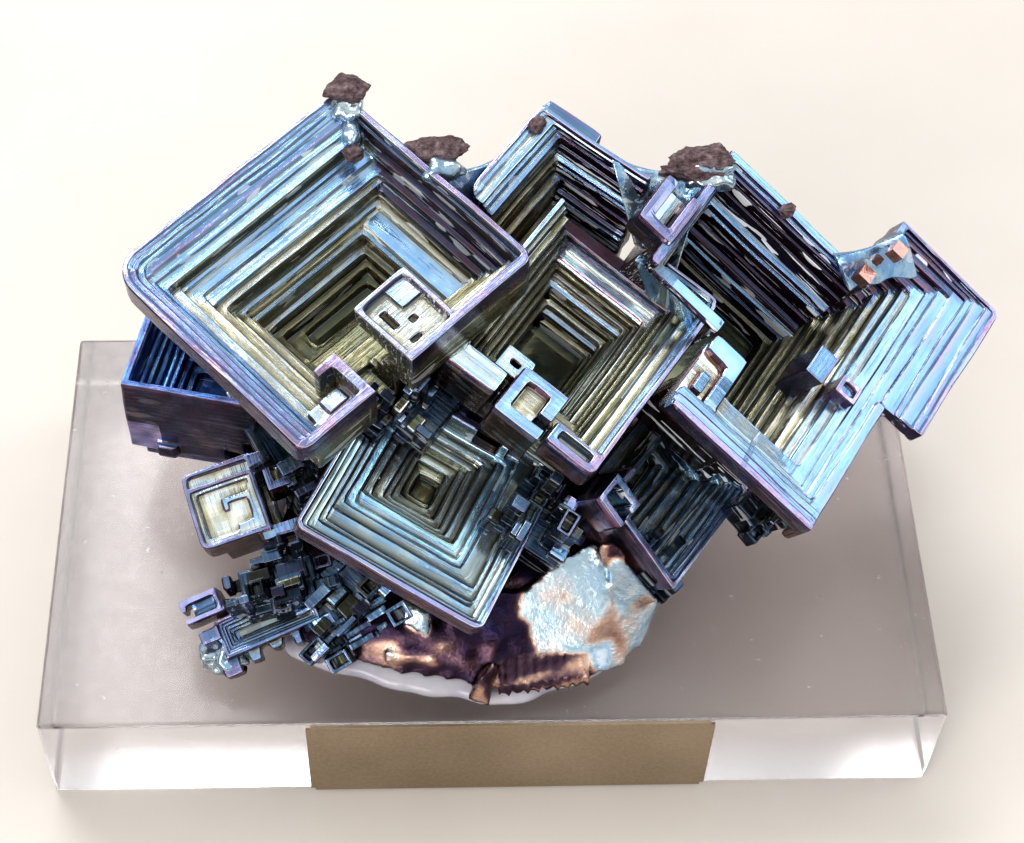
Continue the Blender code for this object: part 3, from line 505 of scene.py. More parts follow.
def hopper_f():
    growth = Growth(AXES_F)
    side = [(0.8, 1.4), (1.1, 2.2), (1.5, 3.2), (1.9, 4), (2.3, 5), (2.7, 5.8), (3.2, 6.8), (3.8, 7.6),
            (4.4, 8.4)]
    growth.hopper(rim=(-6.4, 6.4, -6.4, 6.4), left=side, right=side,
                  front=[(0.7, 1.4), (1.3, 3.2), (2, 5), (2.9, 6.8), (4.2, 8.4)], back=side)
    growth.box((-6.4, -5.5), (-6.4, 1), (-9.4, -0.4))
    growth.box((-6.4, 3), (-6.4, -5.6), (-9.6, -0.35))
    growth.box((-5, 3.2), (-6, -5), (-11, -9))
    growth.box((-3.6, -1.6), (-7, -6), (-9.9, -8.2))
    growth.box((-3, 0.6), (5.2, 8), (-4, 1))
    growth.cut((-2.2, 0.6), (5.9, 7.2), (-0.4, 1))
    growth.box((-4, 4), (-4, 4), (-13.5, -9))
    # Painted reflection: a bright blue patch low on the outer front wall, at its left.
    growth.paint((-6.5, -3.2), (-6.5, -6.3), (-9.7, -6), 0.30, 3.4)
    growth.paint((-5, -3.4), (-4.6, 4), (-8, -2), 0.33, 1.3)
    return growth


def hopper_g():
    growth = Growth(AXES_G, LEVELS_G)
    growth.hopper(
        rim=(-7.6, 6.4, -5.8, 5.2),
        left=[(0.4, 0.2), (0.8, 0.5), (1.1, 1), (1.4, 1.6), (2, 3.2), (2.7, 5.4), (3.4, 7)],
        right=[(0.6, 1.6), (1.2, 3.2), (1.8, 5.4), (2.4, 7)],
        front=[(0.4, 0.2), (0.8, 0.5), (1.2, 1), (1.6, 1.6), (2.1, 2.4), (2.6, 3.2), (3.2, 3.8), (3.8, 4.3),
               (4.4, 4.8), (5, 5.4), (5.6, 6.2), (6.2, 7)],
        back=[(0.8, 1.6), (1.6, 3.2), (2.4, 5.4), (3.2, 7)])
    growth.cut((-3, 6.4), (3.6, 5.2), (-5, 0))
    growth.frame_hook((-8.8, -5.4), (2.4, 6.2), (-3, 0.7), 0.8, "v0", 1.2)
    return growth


# Each is (centre, lean, toward, heading, reach along u, v and w, number of blocks, seed).
CLUSTERS = (
    ((-19.6, -12.2, 20.6), 16, -120, 12, (4.6, 3, 2.8), 30, 3),
    ((-14.4, -13, 18.8), 28, -100, 40, (4.6, 3, 2.6), 26, 5),
    ((-14.5, -4, 24), 20, -80, 30, (4.6, 4.6, 5), 24, 8),
    ((-6, 1.5, 30.5), 18, -60, 52, (5.2, 4, 3.4), 46, 13),
    ((4.2, -8, 24), 22, -50, 60, (4, 4.4, 4.4), 22, 21),
    ((14.4, -9.8, 18), 30, -40, 50, (2.6, 2.4, 2), 16, 34),
    ((25, -6.4, 22.6), 35, -40, 50, (2.2, 2, 3), 12, 55),
    ((-19, 3, 25), 10, -100, 30, (5, 5, 5), 18, 89),
    ((-11.8, -14.2, 16.8), 34, -95, 24, (3.8, 2.2, 1.6), 30, 95),
)


CORE_SHARE = 0.75
PIT_FROM = 0.7                              # blocks with half sides over this have a pit, with a bar in it
PIT_RIM = 0.32
PIT_DEPTH = 0.7
BAR_DEPTH = 0.35
BLOCK_FILMS = [0.14, 0.26, 0.34, 0.44, 0.62, 0.9]
BLOCK_SHADES = [0.06, 0.10, 0.18, 0.4, 1.1]


def cluster(centre, lean, toward, heading, reach, count, seed):
    """Small blocks heaped round a core, all on the same axes, some with a square pit in the top."""
    random = np.random.default_rng(seed)
    growth = Growth(crystal_axes(centre, lean, toward, heading))
    core = [CORE_SHARE * length for length in reach]
    growth.box((-core[0], core[0]), (-core[1], core[1]), (-reach[2] * 1.3, -reach[2] * 0.1))
    growth.seed = (0, 0, -reach[2])
    for _ in range(count):
        middle = [random.uniform(-1, 1) * length for length in reach]
        half = random.uniform(0.35, 1.3, 3) * (1, 0.7, 1)
        top = middle[2] + half[2]
        u = (middle[0] - half[0], middle[0] + half[0])
        v = (middle[1] - half[1], middle[1] + half[1])
        growth.box(u, v, (min(-reach[2] * 0.6, middle[2]), top))
        if min(half[:2]) > PIT_FROM:
            pit_v = (v[0] + PIT_RIM, v[1] - PIT_RIM)
            growth.cut((u[0] + PIT_RIM, u[1] - PIT_RIM), pit_v, (top - PIT_DEPTH, top))
            growth.box((u[0] + PIT_RIM, u[0] + 2 * PIT_RIM), pit_v, (top - PIT_DEPTH, top - BAR_DEPTH))
        growth.paint(u, v, (middle[2] - 1, top), random.choice(BLOCK_FILMS), random.choice(BLOCK_SHADES))
    return growth


def ribbed_block():
    """The long hopper low on the left, with a square loop and small blocks at its outer end."""
    growth = Growth(crystal_axes((-20.6, -15, 18.6), 26, -95, 20))
    stairs = [(0.28, 0.25), (0.5, 0.5), (0.75, 0.8), (1, 1.15), (1.3, 1.5)]
    growth.hopper(rim=(-4.4, 4.6, -1.7, 1.8), left=stairs, right=stairs, front=stairs, back=stairs)
    growth.box((2.6, 4.3), (-0.7, 0.9), (-2.4, 0))
    growth.cut((3, 3.9), (-0.3, 0.5), (-0.8, 0))
    growth.box((-4, 4.2), (-1.4, 1.5), (-4.6, -1.4))
    growth.frame_hook((-6.6, -2.8), (2.2, 4.6), (-2.6, 1.5), 0.55, "u0", 0.7)
    growth.box((-5.6, -3.4), (2.7, 4), (-2.6, 0.5))
    growth.box((-4, -2), (1.4, 3.4), (-5, -1.4))
    growth.box((-6, -4.2), (0.2, 1.4), (-3.6, 0.2))
    growth.box((-5.4, -3.6), (-3.4, -1.6), (-4.4, -0.6))
    growth.box((-2.6, -1.6), (-2.9, -1.5), (-4, -0.4))
    growth.box((-0.6, 0.6), (-2.6, -1.5), (-3.8, -0.9))
    growth.box((1.6, 2.4), (-3, -1.5), (-3.6, -0.5))
    growth.seed = (0, 0, -3)
    growth.paint((-6.6, -2.8), (2.2, 4.6), (0.9, 1.6), 0.14, 1)
    growth.paint((-6.6, -2.8), (-3.4, 1.4), (-4.4, 0.3), 0.2, 0.7)
    return growth


# ---- Materials ----

BLACK = (0, 0, 0)
WHITE = (1, 1, 1)


class Shading:
    """A node tree, with short ways to add the nodes that the looks are built of."""

    def __init__(self, tree):
        self.nodes = tree.nodes
        self.links = tree.links

    def feed(self, socket, value):
        """Sets the socket to a number or a colour, or links another node's output to it."""
        if isinstance(value, (int, float)):
            socket.default_value = value
        elif isinstance(value, tuple):
            socket.default_value = (*value, 1.0)
        else:
            self.links.new(value, socket)

    def calculated(self, operation, first, second):
        node = self.nodes.new("ShaderNodeMath")
        node.operation = operation
        for socket, value in zip(node.inputs, (first, second)):
            self.feed(socket, value)
        return node.outputs[0]

    def plus(self, first, second):
        return self.calculated("ADD", first, second)

    def minus(self, first, second):
        return self.calculated("SUBTRACT", first, second)

    def times(self, first, second):
        return self.calculated("MULTIPLY", first, second)

    def larger(self, first, second):
        return self.calculated("MAXIMUM", first, second)

    def either_way(self, value, reach):
        """A noise's distance from its middle, times reach."""
        return self.times(self.minus(value, 0.5), reach)

    def noise(self, vector, scale, detail=3.0, roughness=0.55):
        node = self.nodes.new("ShaderNodeTexNoise")
        node.inputs["Scale"].default_value = scale
        node.inputs["Detail"].default_value = detail
        node.inputs["Roughness"].default_value = roughness
        self.links.new(vector, node.inputs["Vector"])
        return node.outputs["Fac"]

    def stretched(self, vector, scale):
        node = self.nodes.new("ShaderNodeMapping")
        node.inputs["Scale"].default_value = scale
        self.links.new(vector, node.inputs["Vector"])
        return node.outputs["Vector"]

    def ramp(self, value, stops):
        node = self.nodes.new("ShaderNodeValToRGB")
        elements = node.color_ramp.elements
        while len(elements) < len(stops):
            elements.new(0.5)
        for element, (place, colour) in zip(elements, stops):
            element.position = place
            element.color = (*colour, 1.0)
        self.links.new(value, node.inputs["Fac"])
        return node.outputs["Color"]

    def mix(self, blend, factor, first, second):
        node = self.nodes.new("ShaderNodeMix")
        node.data_type = "RGBA"
        node.blend_type = blend
        for socket, value in zip((node.inputs[0], node.inputs[6], node.inputs[7]), (factor, first, second)):
            self.feed(socket, value)
        return node.outputs[2]

    def attribute(self, name, output="Fac"):
        node = self.nodes.new("ShaderNodeAttribute")
        node.attribute_name = name
        return node.outputs[output]

    def geometry(self, output):
        return self.nodes.new("ShaderNodeNewGeometry").outputs[output]


class Finish(Shading):
    """A material on the principled shader."""

    def __init__(self, name):
        self.material = bpy.data.materials.new(name)
        self.material.use_nodes = True
        super().__init__(self.material.node_tree)
        self.shader = self.nodes["Principled BSDF"]

    def surface(self, values):
        for name, value in values.items():
            self.feed(self.shader.inputs[name], value)

    def bump(self, height, strength, distance):
        node = self.nodes.new("ShaderNodeBump")
        node.inputs["Strength"].default_value = strength
        node.inputs["Distance"].default_value = distance
        self.links.new(height, node.inputs["Height"])
        self.links.new(node.outputs["Normal"], self.shader.inputs["Normal"])


# The oxide film's interference colours, from the thin film of the outer rims to the depths.
FILM_COLOURS = (
    (0.00, (0.44, 0.24, 0.30)),
    (0.08, (0.34, 0.32, 0.53)),
    (0.17, (0.28, 0.36, 0.63)),
    (0.28, (0.24, 0.45, 0.75)),
    (0.40, (0.41, 0.60, 0.79)),
    (0.52, (0.66, 0.73, 0.72)),
    (0.63, (0.72, 0.70, 0.56)),
    (0.74, (0.44, 0.41, 0.24)),
    (0.86, (0.25, 0.27, 0.18)),
    (1.00, (0.12, 0.14, 0.09)),
)


def bismuth_film():
    """Metal under the film. The attribute film is its thickness, and tint the face's shade, with its
    streakiness as alpha: how much of the face is streaked near-white, partly milky oxide and partly painted
    highlights."""
    made = Finish("bismuth film")
    growth = made.attribute("growth", "Vector")
    streakiness = made.attribute("tint", "Alpha")
    lines = made.noise(growth, 1.0, 4.0, 0.62)
    blotches = made.noise(made.attribute("place", "Vector"), 0.35)
    shift = made.either_way(lines, made.plus(made.times(streakiness, 0.5), 0.14))
    film = made.plus(made.attribute("film"), made.plus(shift, made.either_way(blotches, 0.30)))
    shade = made.ramp(lines, ((0.34, (0.28, 0.26, 0.28)), (0.47, (0.86, 0.86, 0.86)), (0.62, WHITE),
                              (0.72, (1.25, 1.25, 1.25))))
    depth = made.plus(made.times(streakiness, 0.8), 0.2)
    colour = made.mix("MULTIPLY", depth, made.ramp(film, FILM_COLOURS), shade)
    colour = made.mix("MULTIPLY", 1.0, colour, made.attribute("tint", "Color"))
    lenses = made.noise(made.stretched(growth, (0.42, 2.0, 0.34)), 1.0, 1.5, 0.5)
    # Near-white streaking, rougher and less metallic: partly milky oxide, partly painted highlights for the
    # sky reflected in curved lips.
    milky_and_highlight_streaks = made.larger(made.ramp(lines, ((0.60, BLACK), (0.63, WHITE))),
                          made.ramp(lenses, ((0.635, BLACK), (0.65, WHITE))))
    amount = made.times(milky_and_highlight_streaks, streakiness)
    rough = made.plus(made.plus(made.times(blotches, 0.22), 0.03), made.times(amount, 0.40))
    made.surface({"Base Color": made.mix("MIX", amount, colour, (0.97, 0.98, 1.0)),
                  "Metallic": made.minus(0.86, made.times(amount, 0.76)), "Roughness": rough})
    made.bump(lines, 0.55, 0.00018)
    return made.material


def bismuth_edge():
    """The eased edges, where the film is thinnest: a pale violet line."""
    made = Finish("bismuth edge")
    patches = made.noise(made.attribute("place", "Vector"), 0.6)
    colour = made.ramp(patches, ((0.28, (0.42, 0.35, 0.52)), (0.42, (0.42, 0.46, 0.66)),
                                 (0.56, (0.50, 0.63, 0.76)), (0.72, (0.68, 0.66, 0.62))))
    colour = made.mix("MULTIPLY", 1.0, colour, made.attribute("tint", "Color"))
    made.surface({"Base Color": colour, "Metallic": 1.0, "Roughness": 0.28})
    return made.material


def lump_metal():
    """Broken metal of the lump: dark brown-purple skin, with peach, cream and steel-blue cleavage faces."""
    made = Finish("bismuth lump")
    place = made.attribute("place", "Vector")
    patches = made.noise(place, 0.22, 4.0)
    fine = made.noise(place, 1.6, 5.0, 0.65)
    colour = made.ramp(made.plus(made.attribute("tone"), made.either_way(patches, 0.42)), (
        (0.00, (0.02, 0.018, 0.05)), (0.20, (0.045, 0.026, 0.045)), (0.34, (0.12, 0.07, 0.09)),
        (0.48, (0.62, 0.40, 0.30)), (0.58, (0.72, 0.62, 0.56)), (0.68, (0.52, 0.64, 0.70)),
        (0.82, (0.42, 0.56, 0.68)), (1.00, (0.86, 0.92, 0.96))))
    made.surface({"Base Color": colour, "Metallic": 1.0, "Roughness": made.plus(made.times(fine, 0.3), 0.04)})
    made.bump(fine, 0.5, 0.0003)
    return made.material


def dross():
    """Rough brown oxide crust, in layers."""
    made = Finish("dross")
    fine = made.noise(made.stretched(made.attribute("place", "Vector"), (0.8, 0.8, 2.6)), 1.6, 6.0, 0.7)
    colour = made.ramp(fine, ((0.32, (0.035, 0.02, 0.024)), (0.46, (0.12, 0.075, 0.08)),
                              (0.58, (0.22, 0.16, 0.16)), (0.74, (0.44, 0.38, 0.38))))
    made.surface({"Base Color": colour, "Metallic": 0.55, "Roughness": 0.55})
    made.bump(fine, 0.9, 0.0004)
    return made.material


def acrylic():
    """Clear acrylic, with fine specks of dust on the faces that look up."""
    made = Finish("clear acrylic")
    specks = made.noise(made.geometry("Position"), 900.0, 4.0, 0.6)
    split = made.nodes.new("ShaderNodeSeparateXYZ")
    made.links.new(made.geometry("Normal"), split.inputs[0])
    haze = made.times(made.larger(split.outputs["Z"], 0.0), made.plus(made.times(specks, 0.22), 0.10))
    made.surface({"Base Color": (0.965, 0.925, 0.935), "Transmission Weight": 1.0, "IOR": 1.49,
                  "Roughness": made.plus(haze, 0.02)})
    return made.material


def label_tape():
    """Bare bronze-coloured tape with a fine grain."""
    made = Finish("bronze tape")
    wide = made.noise(made.geometry("Position"), 60.0, 2.0)
    grain = made.noise(made.geometry("Position"), 2600.0, 2.0)
    colour = made.ramp(made.plus(made.times(grain, 0.35), made.times(wide, 0.65)),
                       ((0.35, (0.20, 0.145, 0.085)), (0.65, (0.30, 0.225, 0.15))))
    made.surface({"Base Color": colour, "Metallic": 0.35, "Roughness": 0.42})
    made.bump(grain, 0.15, 0.00005)
    return made.material


def set_glue():
    """Milky set glue."""
    made = Finish("set glue")
    cloud = made.noise(made.geometry("Position"), 260.0)
    colour = made.ramp(cloud, ((0.35, (0.62, 0.58, 0.68)), (0.70, (0.86, 0.82, 0.84))))
    made.surface({"Base Color": colour, "Roughness": 0.22, "Transmission Weight": 0.35, "IOR": 1.48})
    made.bump(cloud, 0.4, 0.0003)
    return made.material


FILM, EDGE, LUMP_METAL, DROSS = bismuth_film(), bismuth_edge(), lump_metal(), dross()


# ---- From grids to pieces ----

LEVEL_RUN = 0.6                             # outside every rim, how fast the growth lines run across a face
OUTSIDE_RIM = -0.5                          # a staircase value below this lies outside its rim
GROWTH_LINES = (4.5, 0.11, 2.4)             # the streaks' fineness across the steps, along them and downwards
BOX_MARGIN = 0.02


def put_attribute(mesh, name, kind, domain, values):
    layer = mesh.attributes.new(name, kind, domain)
    field = {"FLOAT": "value", "FLOAT_VECTOR": "vector", "FLOAT_COLOR": "color"}[kind]
    layer.data.foreach_set(field, np.asarray(values, np.float32).ravel())


def kept_in_box(points):
    """Points in world millimetres, held inside the solid's own box."""
    return np.clip(points, CRYSTAL_BOX[0] + BOX_MARGIN, CRYSTAL_BOX[1] - BOX_MARGIN)


def place_piece(name, mesh, node="crystal"):
    made = bpy.data.objects.new(name, mesh)
    bpy.context.scene.collection.objects.link(made)
    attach(made, "root")
    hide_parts(node)
    return made


def bevel(piece, width):
    eased = piece.modifiers.new("eased edges", "BEVEL")
    eased.width = width
    eased.segments = 2
    eased.limit_method = "ANGLE"
    return eased


def mesh_from(shell, name):
    mesh = bpy.data.meshes.new(name)
    shell.to_mesh(mesh)
    shell.free()
    return mesh


def point_values(mesh, field):
    values = np.empty(len(mesh.vertices) * 3, np.float32)
    mesh.vertices.foreach_get(field, values)
    return values.reshape(-1, 3)


def set_points(mesh, points):
    """Moves the mesh's points to these places in millimetres."""
    mesh.vertices.foreach_set("co", (points * MM).astype(np.float32).ravel())


def film_attributes(mesh, points, films, tint):
    """What the film material reads, on a piece without terraces."""
    put_attribute(mesh, "film", "FLOAT", "POINT", films)
    put_attribute(mesh, "place", "FLOAT_VECTOR", "POINT", points)
    put_attribute(mesh, "growth", "FLOAT_VECTOR", "POINT", points * (1.2, 1.2, 0.4))
    put_attribute(mesh, "tint", "FLOAT_COLOR", "CORNER", [tint] * len(mesh.loops))


def terraces(points, rims):
    """Per point, how deep it lies on its staircase, and which staircase that is: four for each rim."""
    level = np.abs(points[:, 0]) * LEVEL_RUN
    band = np.zeros(len(points), int)
    for number, sides in enumerate(rims):
        slopes = []
        for stairs, edge, inward, axis in sides:
            places, depths = zip((-2.0, -2.0), (0.0, 0.0), *stairs)
            slopes.append(np.interp((points[:, axis] - edge) * inward, places, depths))
        slopes = np.array(slopes)
        inside = (slopes.min(0) > OUTSIDE_RIM) | (number == 0)
        level = np.where(inside, slopes.min(0), level)
        band = np.where(inside, slopes.argmin(0) + 4 * number, band)
    return level, band


def looked_up(profiles, band, depth, column):
    """The film (column 1) or the shade (column 2) at each depth of each band's profile."""
    found = np.empty(len(depth))
    for number, rows in enumerate(profiles):
        here = band % len(profiles) == number
        columns = list(zip(*rows))
        found[here] = np.interp(depth[here], columns[0], columns[column])
    return found


def within(places, ranges):
    return np.all([(low <= places[:, axis]) & (places[:, axis] <= high)
                   for axis, (low, high) in enumerate(ranges)], 0)


def painted(found, places, paints, column):
    """Gives each painted stretch its own film (column 1) or shade (column 2)."""
    for paint in paints:
        found[within(places, paint[0])] = paint[column]
    return found


def crystal_piece(name, growth, profiles, tints, spacing=1.1, warp=0.12, seed=1, mottle=0.0, groove=0.16,
                  painted_relief_light=0.30):
    """Each profile gives (depth, film, shade) downwards from the mouth, for the bands in terraces' order.
    Shade is a brightness factor, partly the metal's own tone: it mostly falls with depth, painted shade deep
    in the hopper, and rises above 1 on some ledges, painted highlights. tints has one colour and streakiness
    for each of the faces -u +u -v +v -w +w inside the rims. Outside them, and on painted stretches, the side
    faces of a hopper are
    OUTER_FILM_AND_REFLECTION, partly the film's colour and partly a painted reflection. In a groove the film
    is thicker by groove and the metal darker by contrast than on a face, a painted shade, and on a ridge it
    is the other way round, a painted highlight."""
    points, quads, facing, lip = growth.mesh_arrays(spacing)
    shaped = relaxed(warped(points, warp, seed), quads, SOFTNESS)
    for corner, signs, radius in growth.rounds:
        shaped = rounded(shaped, corner, signs, radius)
    axes = np.array(growth.axes)
    world = kept_in_box(shaped @ axes[:3, :3].T + axes[:3, 3])
    world[:, 2] = np.maximum(world[:, 2], FOOT_Z)
    mesh = bpy.data.meshes.new(name)
    mesh.from_pydata((world * MM).tolist(), [], quads.tolist())
    level, band = terraces(points, growth.rims)
    film = painted(looked_up(profiles, band, -points[:, 2], 1), points, growth.paints, 1)
    thinnest = np.minimum(film, THINNEST)
    film = film - groove * lip + mottle * waves(points, (5.0, 5.0, 5.0), seed + 5)
    across, along, downwards = GROWTH_LINES
    put_attribute(mesh, "film", "FLOAT", "POINT", np.clip(film, thinnest, 1.0))
    put_attribute(mesh, "place", "FLOAT_VECTOR", "POINT", world)
    put_attribute(mesh, "growth", "FLOAT_VECTOR", "POINT", np.stack(
        [level * across, (points[:, 0] + points[:, 1]) * along, points[:, 2] * downwards], 1))
    middles = points[quads].mean(1)
    level, band = terraces(middles, growth.rims)
    shade = painted(looked_up(profiles, band, -middles[:, 2], 2), middles, growth.paints, 2)
    shade = shade * (1.0 + 2.2 * mottle * waves(middles, (3.0, 3.0, 3.0), seed + 6))
    chosen = np.array(tints)[facing].astype(float)
    if growth.rims:
        outer = level < 0.05
        for ranges, _, _ in growth.paints:
            outer |= within(middles, ranges)
        # Side faces outside the rims and on painted stretches take the outer wall colour, partly a painted
        # reflection.
        chosen[(facing < 4) & outer] = OUTER_FILM_AND_REFLECTION
    tint = np.repeat(chosen, 4, 0)
    # Painted light from the relief: the tint is darkened in grooves, a painted shade, and lightened on
    # ridges, a painted highlight.
    tint[:, :3] *= np.repeat(shade, 4)[:, None] * (1.0 + painted_relief_light * lip[quads].reshape(-1))[:, None]
    put_attribute(mesh, "tint", "FLOAT_COLOR", "CORNER", tint)
    mesh.materials.append(FILM)
    mesh.materials.append(EDGE)
    eased = bevel(place_piece(name, mesh), EDGE_EASING * MM)
    eased.angle_limit = math.radians(40)
    eased.material = 1
    eased.miter_outer = "MITER_SHARP"
    eased.use_clamp_overlap = True


# The shades of the faces -u +u -v +v -w +w, with their streakiness: the treads (+w) are the brightest, and
# the undersides (-w) are dimmed to about half, a painted shade.
GOLD_WALL = (0.80, 0.62, 0.44, 0.6)
OLIVE_WALL = (0.75, 0.70, 0.58, 0.4)
MAROON_WALL = (0.30, 0.15, 0.22, 0.9)
# A dark red-brown for the outer walls: partly the film's own colour, partly a painted reflection of brown
# surroundings.
OUTER_FILM_AND_REFLECTION = (0.40, 0.22, 0.23, 0.10)
FAR_WALL = (0.9, 0.9, 0.9, 0.3)
# Painted shade for the faces that look down.
PAINTED_UNDER_SHADE = (0.5, 0.45, 0.5, 0.1)
TREAD = (1.0, 1.0, 1.0, 0.0)
SIDE_GROOVES = ((0.0, 0.14, 0.85), (1.0, 0.40, 0.7), (4.0, 0.70, 0.6), (13.0, 0.85, 0.45))

# In the profiles the shade mostly falls with depth, painted shade deep in each hopper, and rises above 1 on
# bright ledges, painted highlights; in part it is the metal's own tone.
crystal_piece("hopper_a", hopper_a(), (
    ((0, 0.10, 0.75), (0.5, 0.13, 0.75), (1.2, 0.30, 0.8), (1.6, 0.22, 0.8), (2.6, 0.56, 0.7),
     (4, 0.66, 0.75), (7.1, 0.68, 0.75), (9.6, 0.80, 0.6), (12.8, 0.84, 0.5)),
    ((0, 0.14, 0.85), (0.9, 0.20, 0.6), (1.2, 0.02, 0.34), (4, 0.04, 0.3), (4.6, 0.30, 0.7), (5.2, 0.02, 0.3),
     (6.3, 0.80, 0.5), (7.1, 0.34, 1.1), (7.6, 0.36, 1.1), (8.5, 0.76, 0.6), (12.8, 0.80, 0.6)),
    ((0, 0.09, 0.8), (0.8, 0.18, 0.75), (2, 0.60, 0.6), (4.8, 0.76, 0.5), (12.8, 0.82, 0.5)),
    ((0, 0.10, 0.75), (0.15, 0.22, 0.95), (0.6, 0.30, 1.1), (0.9, 0.20, 0.95), (1.2, 0.33, 1.15),
     (1.6, 0.34, 1.15), (2, 0.86, 0.4), (2.6, 0.86, 0.4), (3.1, 0.33, 1.15), (4.4, 0.35, 1.1),
     (4.8, 0.84, 0.5), (5.9, 0.76, 0.7), (6.6, 0.40, 0.9), (7.1, 0.74, 0.7), (7.6, 0.44, 0.95),
     (8.5, 0.78, 0.6), (9.6, 0.46, 0.85), (10.7, 0.78, 0.6), (12.8, 0.84, 0.55))),
    (GOLD_WALL, FAR_WALL, OLIVE_WALL, FAR_WALL, PAINTED_UNDER_SHADE, TREAD), seed=11, groove=0.10)
crystal_piece("hopper_b_tip", hopper_b_tip(), (
    ((0, 0.40, 0.8), (5.5, 0.72, 0.6), (11, 0.82, 0.45)),
    ((0, 0.30, 1), (0.9, 0.24, 0.5), (1.4, 0, 0.34), (2.4, 0.02, 0.3), (3.8, 0.34, 1), (4.5, 0, 0.3),
     (7, 0.02, 0.3), (7.6, 0.34, 1), (9, 0.03, 0.3), (11, 0.7, 0.4)),
    ((0, 0.5, 0.8), (11, 0.8, 0.4)),
    ((0, 0.22, 1), (0.5, 0.36, 1.05), (1.4, 0.34, 1.05), (2.4, 0.48, 0.8), (3.6, 0.74, 0.6), (7, 0.62, 0.7),
     (11, 0.82, 0.5))),
    (MAROON_WALL, FAR_WALL, OLIVE_WALL, FAR_WALL, PAINTED_UNDER_SHADE, TREAD), seed=23)
crystal_piece("hopper_b", hopper_b(), (
    ((0, 0.30, 0.9), (2.1, 0.55, 0.85), (6, 0.74, 0.6), (12, 0.84, 0.45)),
    ((0, 0.22, 0.9), (0.4, 0.30, 0.9), (0.9, 0, 0.36), (5, 0.02, 0.32), (5.8, 0.33, 1.25), (6.3, 0.34, 1.25),
     (6.9, 0.82, 0.5), (7.7, 0.74, 0.6), (8.4, 0.36, 1.1), (9.1, 0.84, 0.5), (10.5, 0.42, 0.9),
     (12, 0.80, 0.6)),
    ((0, 0.10, 0.85), (0.3, 0.30, 0.85), (0.9, 0.68, 0.75), (3, 0.76, 0.7), (6, 0.82, 0.6), (12, 0.87, 0.45)),
    ((0, 0.40, 0.9), (1.5, 0.62, 0.85), (6, 0.70, 0.7), (12, 0.78, 0.55))),
    (GOLD_WALL, FAR_WALL, OLIVE_WALL, FAR_WALL, PAINTED_UNDER_SHADE, TREAD), seed=37, groove=0.2)
crystal_piece("hopper_c", hopper_c(), (
    SIDE_GROOVES,
    ((0, 0.16, 0.85), (0.5, 0.04, 0.34), (7, 0.02, 0.3), (13, 0.5, 0.3)),
    ((0, 0.14, 0.8), (0.6, 0.24, 0.78), (1.6, 0.36, 0.78), (2, 0.40, 0.8), (2.8, 0.48, 0.75),
     (3.6, 0.62, 0.8), (5.4, 0.72, 0.7), (9.2, 0.78, 0.5), (13, 0.86, 0.4)),
    SIDE_GROOVES,
    SIDE_GROOVES,
    ((0, 0.28, 0.95), (0.5, 0.33, 0.95), (1, 0, 0.34), (4, 0.02, 0.3), (4.5, 0.33, 1.15), (5.4, 0.34, 1.15),
     (6, 0.02, 0.32), (8.2, 0.04, 0.34), (8.7, 0.35, 1.1), (9.2, 0.35, 1.1), (10, 0.1, 0.3), (13, 0.80, 0.5)),
    SIDE_GROOVES,
    SIDE_GROOVES),
    (MAROON_WALL, FAR_WALL, OUTER_FILM_AND_REFLECTION, FAR_WALL, PAINTED_UNDER_SHADE, TREAD), seed=41, groove=0.12)
crystal_piece("hopper_d", hopper_d(), (
    ((0, 0.14, 0.9), (0.2, 0.46, 0.66), (1.15, 0.48, 0.66), (1.5, 0.36, 1.5), (1.7, 0.37, 1.5),
     (1.9, 0.50, 0.7), (4.6, 0.58, 0.8), (6, 0.78, 1.1)),),
    (OLIVE_WALL, FAR_WALL, OUTER_FILM_AND_REFLECTION, FAR_WALL, PAINTED_UNDER_SHADE, (0.84, 0.90, 0.90, 0)), seed=53, groove=0.10,
    painted_relief_light=0.8)
crystal_piece("hopper_e", hopper_e(), (
    ((0, 0.17, 0.85), (0.3, 0.34, 1), (0.35, 0.48, 1.1), (0.9, 0.52, 1.1), (1.3, 0.62, 0.6), (4, 0.5, 0.4)),),
    (OUTER_FILM_AND_REFLECTION, FAR_WALL, OUTER_FILM_AND_REFLECTION, FAR_WALL, PAINTED_UNDER_SHADE, TREAD), seed=61, mottle=0.10)
crystal_piece("hopper_f", hopper_f(), (
    ((0, 0.16, 0.6), (1.4, 0.24, 0.5), (4, 0.27, 0.55), (9, 0.30, 0.5)),),
    ((0.30, 0.40, 0.75, 0.3), (0.3, 0.4, 0.8, 0.4), (0.50, 0.34, 0.44, 0.05), (0.3, 0.4, 0.8, 0.3),
     PAINTED_UNDER_SHADE, (0.6, 0.8, 1.1, 0)), seed=71, mottle=0.16, groove=0.08, painted_relief_light=0.6)
crystal_piece("hopper_g", hopper_g(), (
    ((0, 0.12, 1), (0.4, 0.22, 1.1), (1, 0.38, 1.3), (3.2, 0.46, 1.2), (7, 0.52, 0.6)),
    ((0, 0.2, 0.6), (7, 0.48, 0.2)),
    ((0, 0.16, 1), (0.5, 0.28, 1.1), (1.6, 0.40, 1.2), (7, 0.50, 0.7)),
    ((0, 0.3, 0.5), (7, 0.6, 0.25))),
    ((0.3, 0.4, 0.42, 0.8), (0.6, 0.7, 0.7, 0.7), (0.32, 0.36, 0.42, 0.8), (0.6, 0.7, 0.7, 0.7), PAINTED_UNDER_SHADE,
     (0.9, 0.98, 1, 0.2)), seed=83, mottle=0.12, painted_relief_light=0.8)
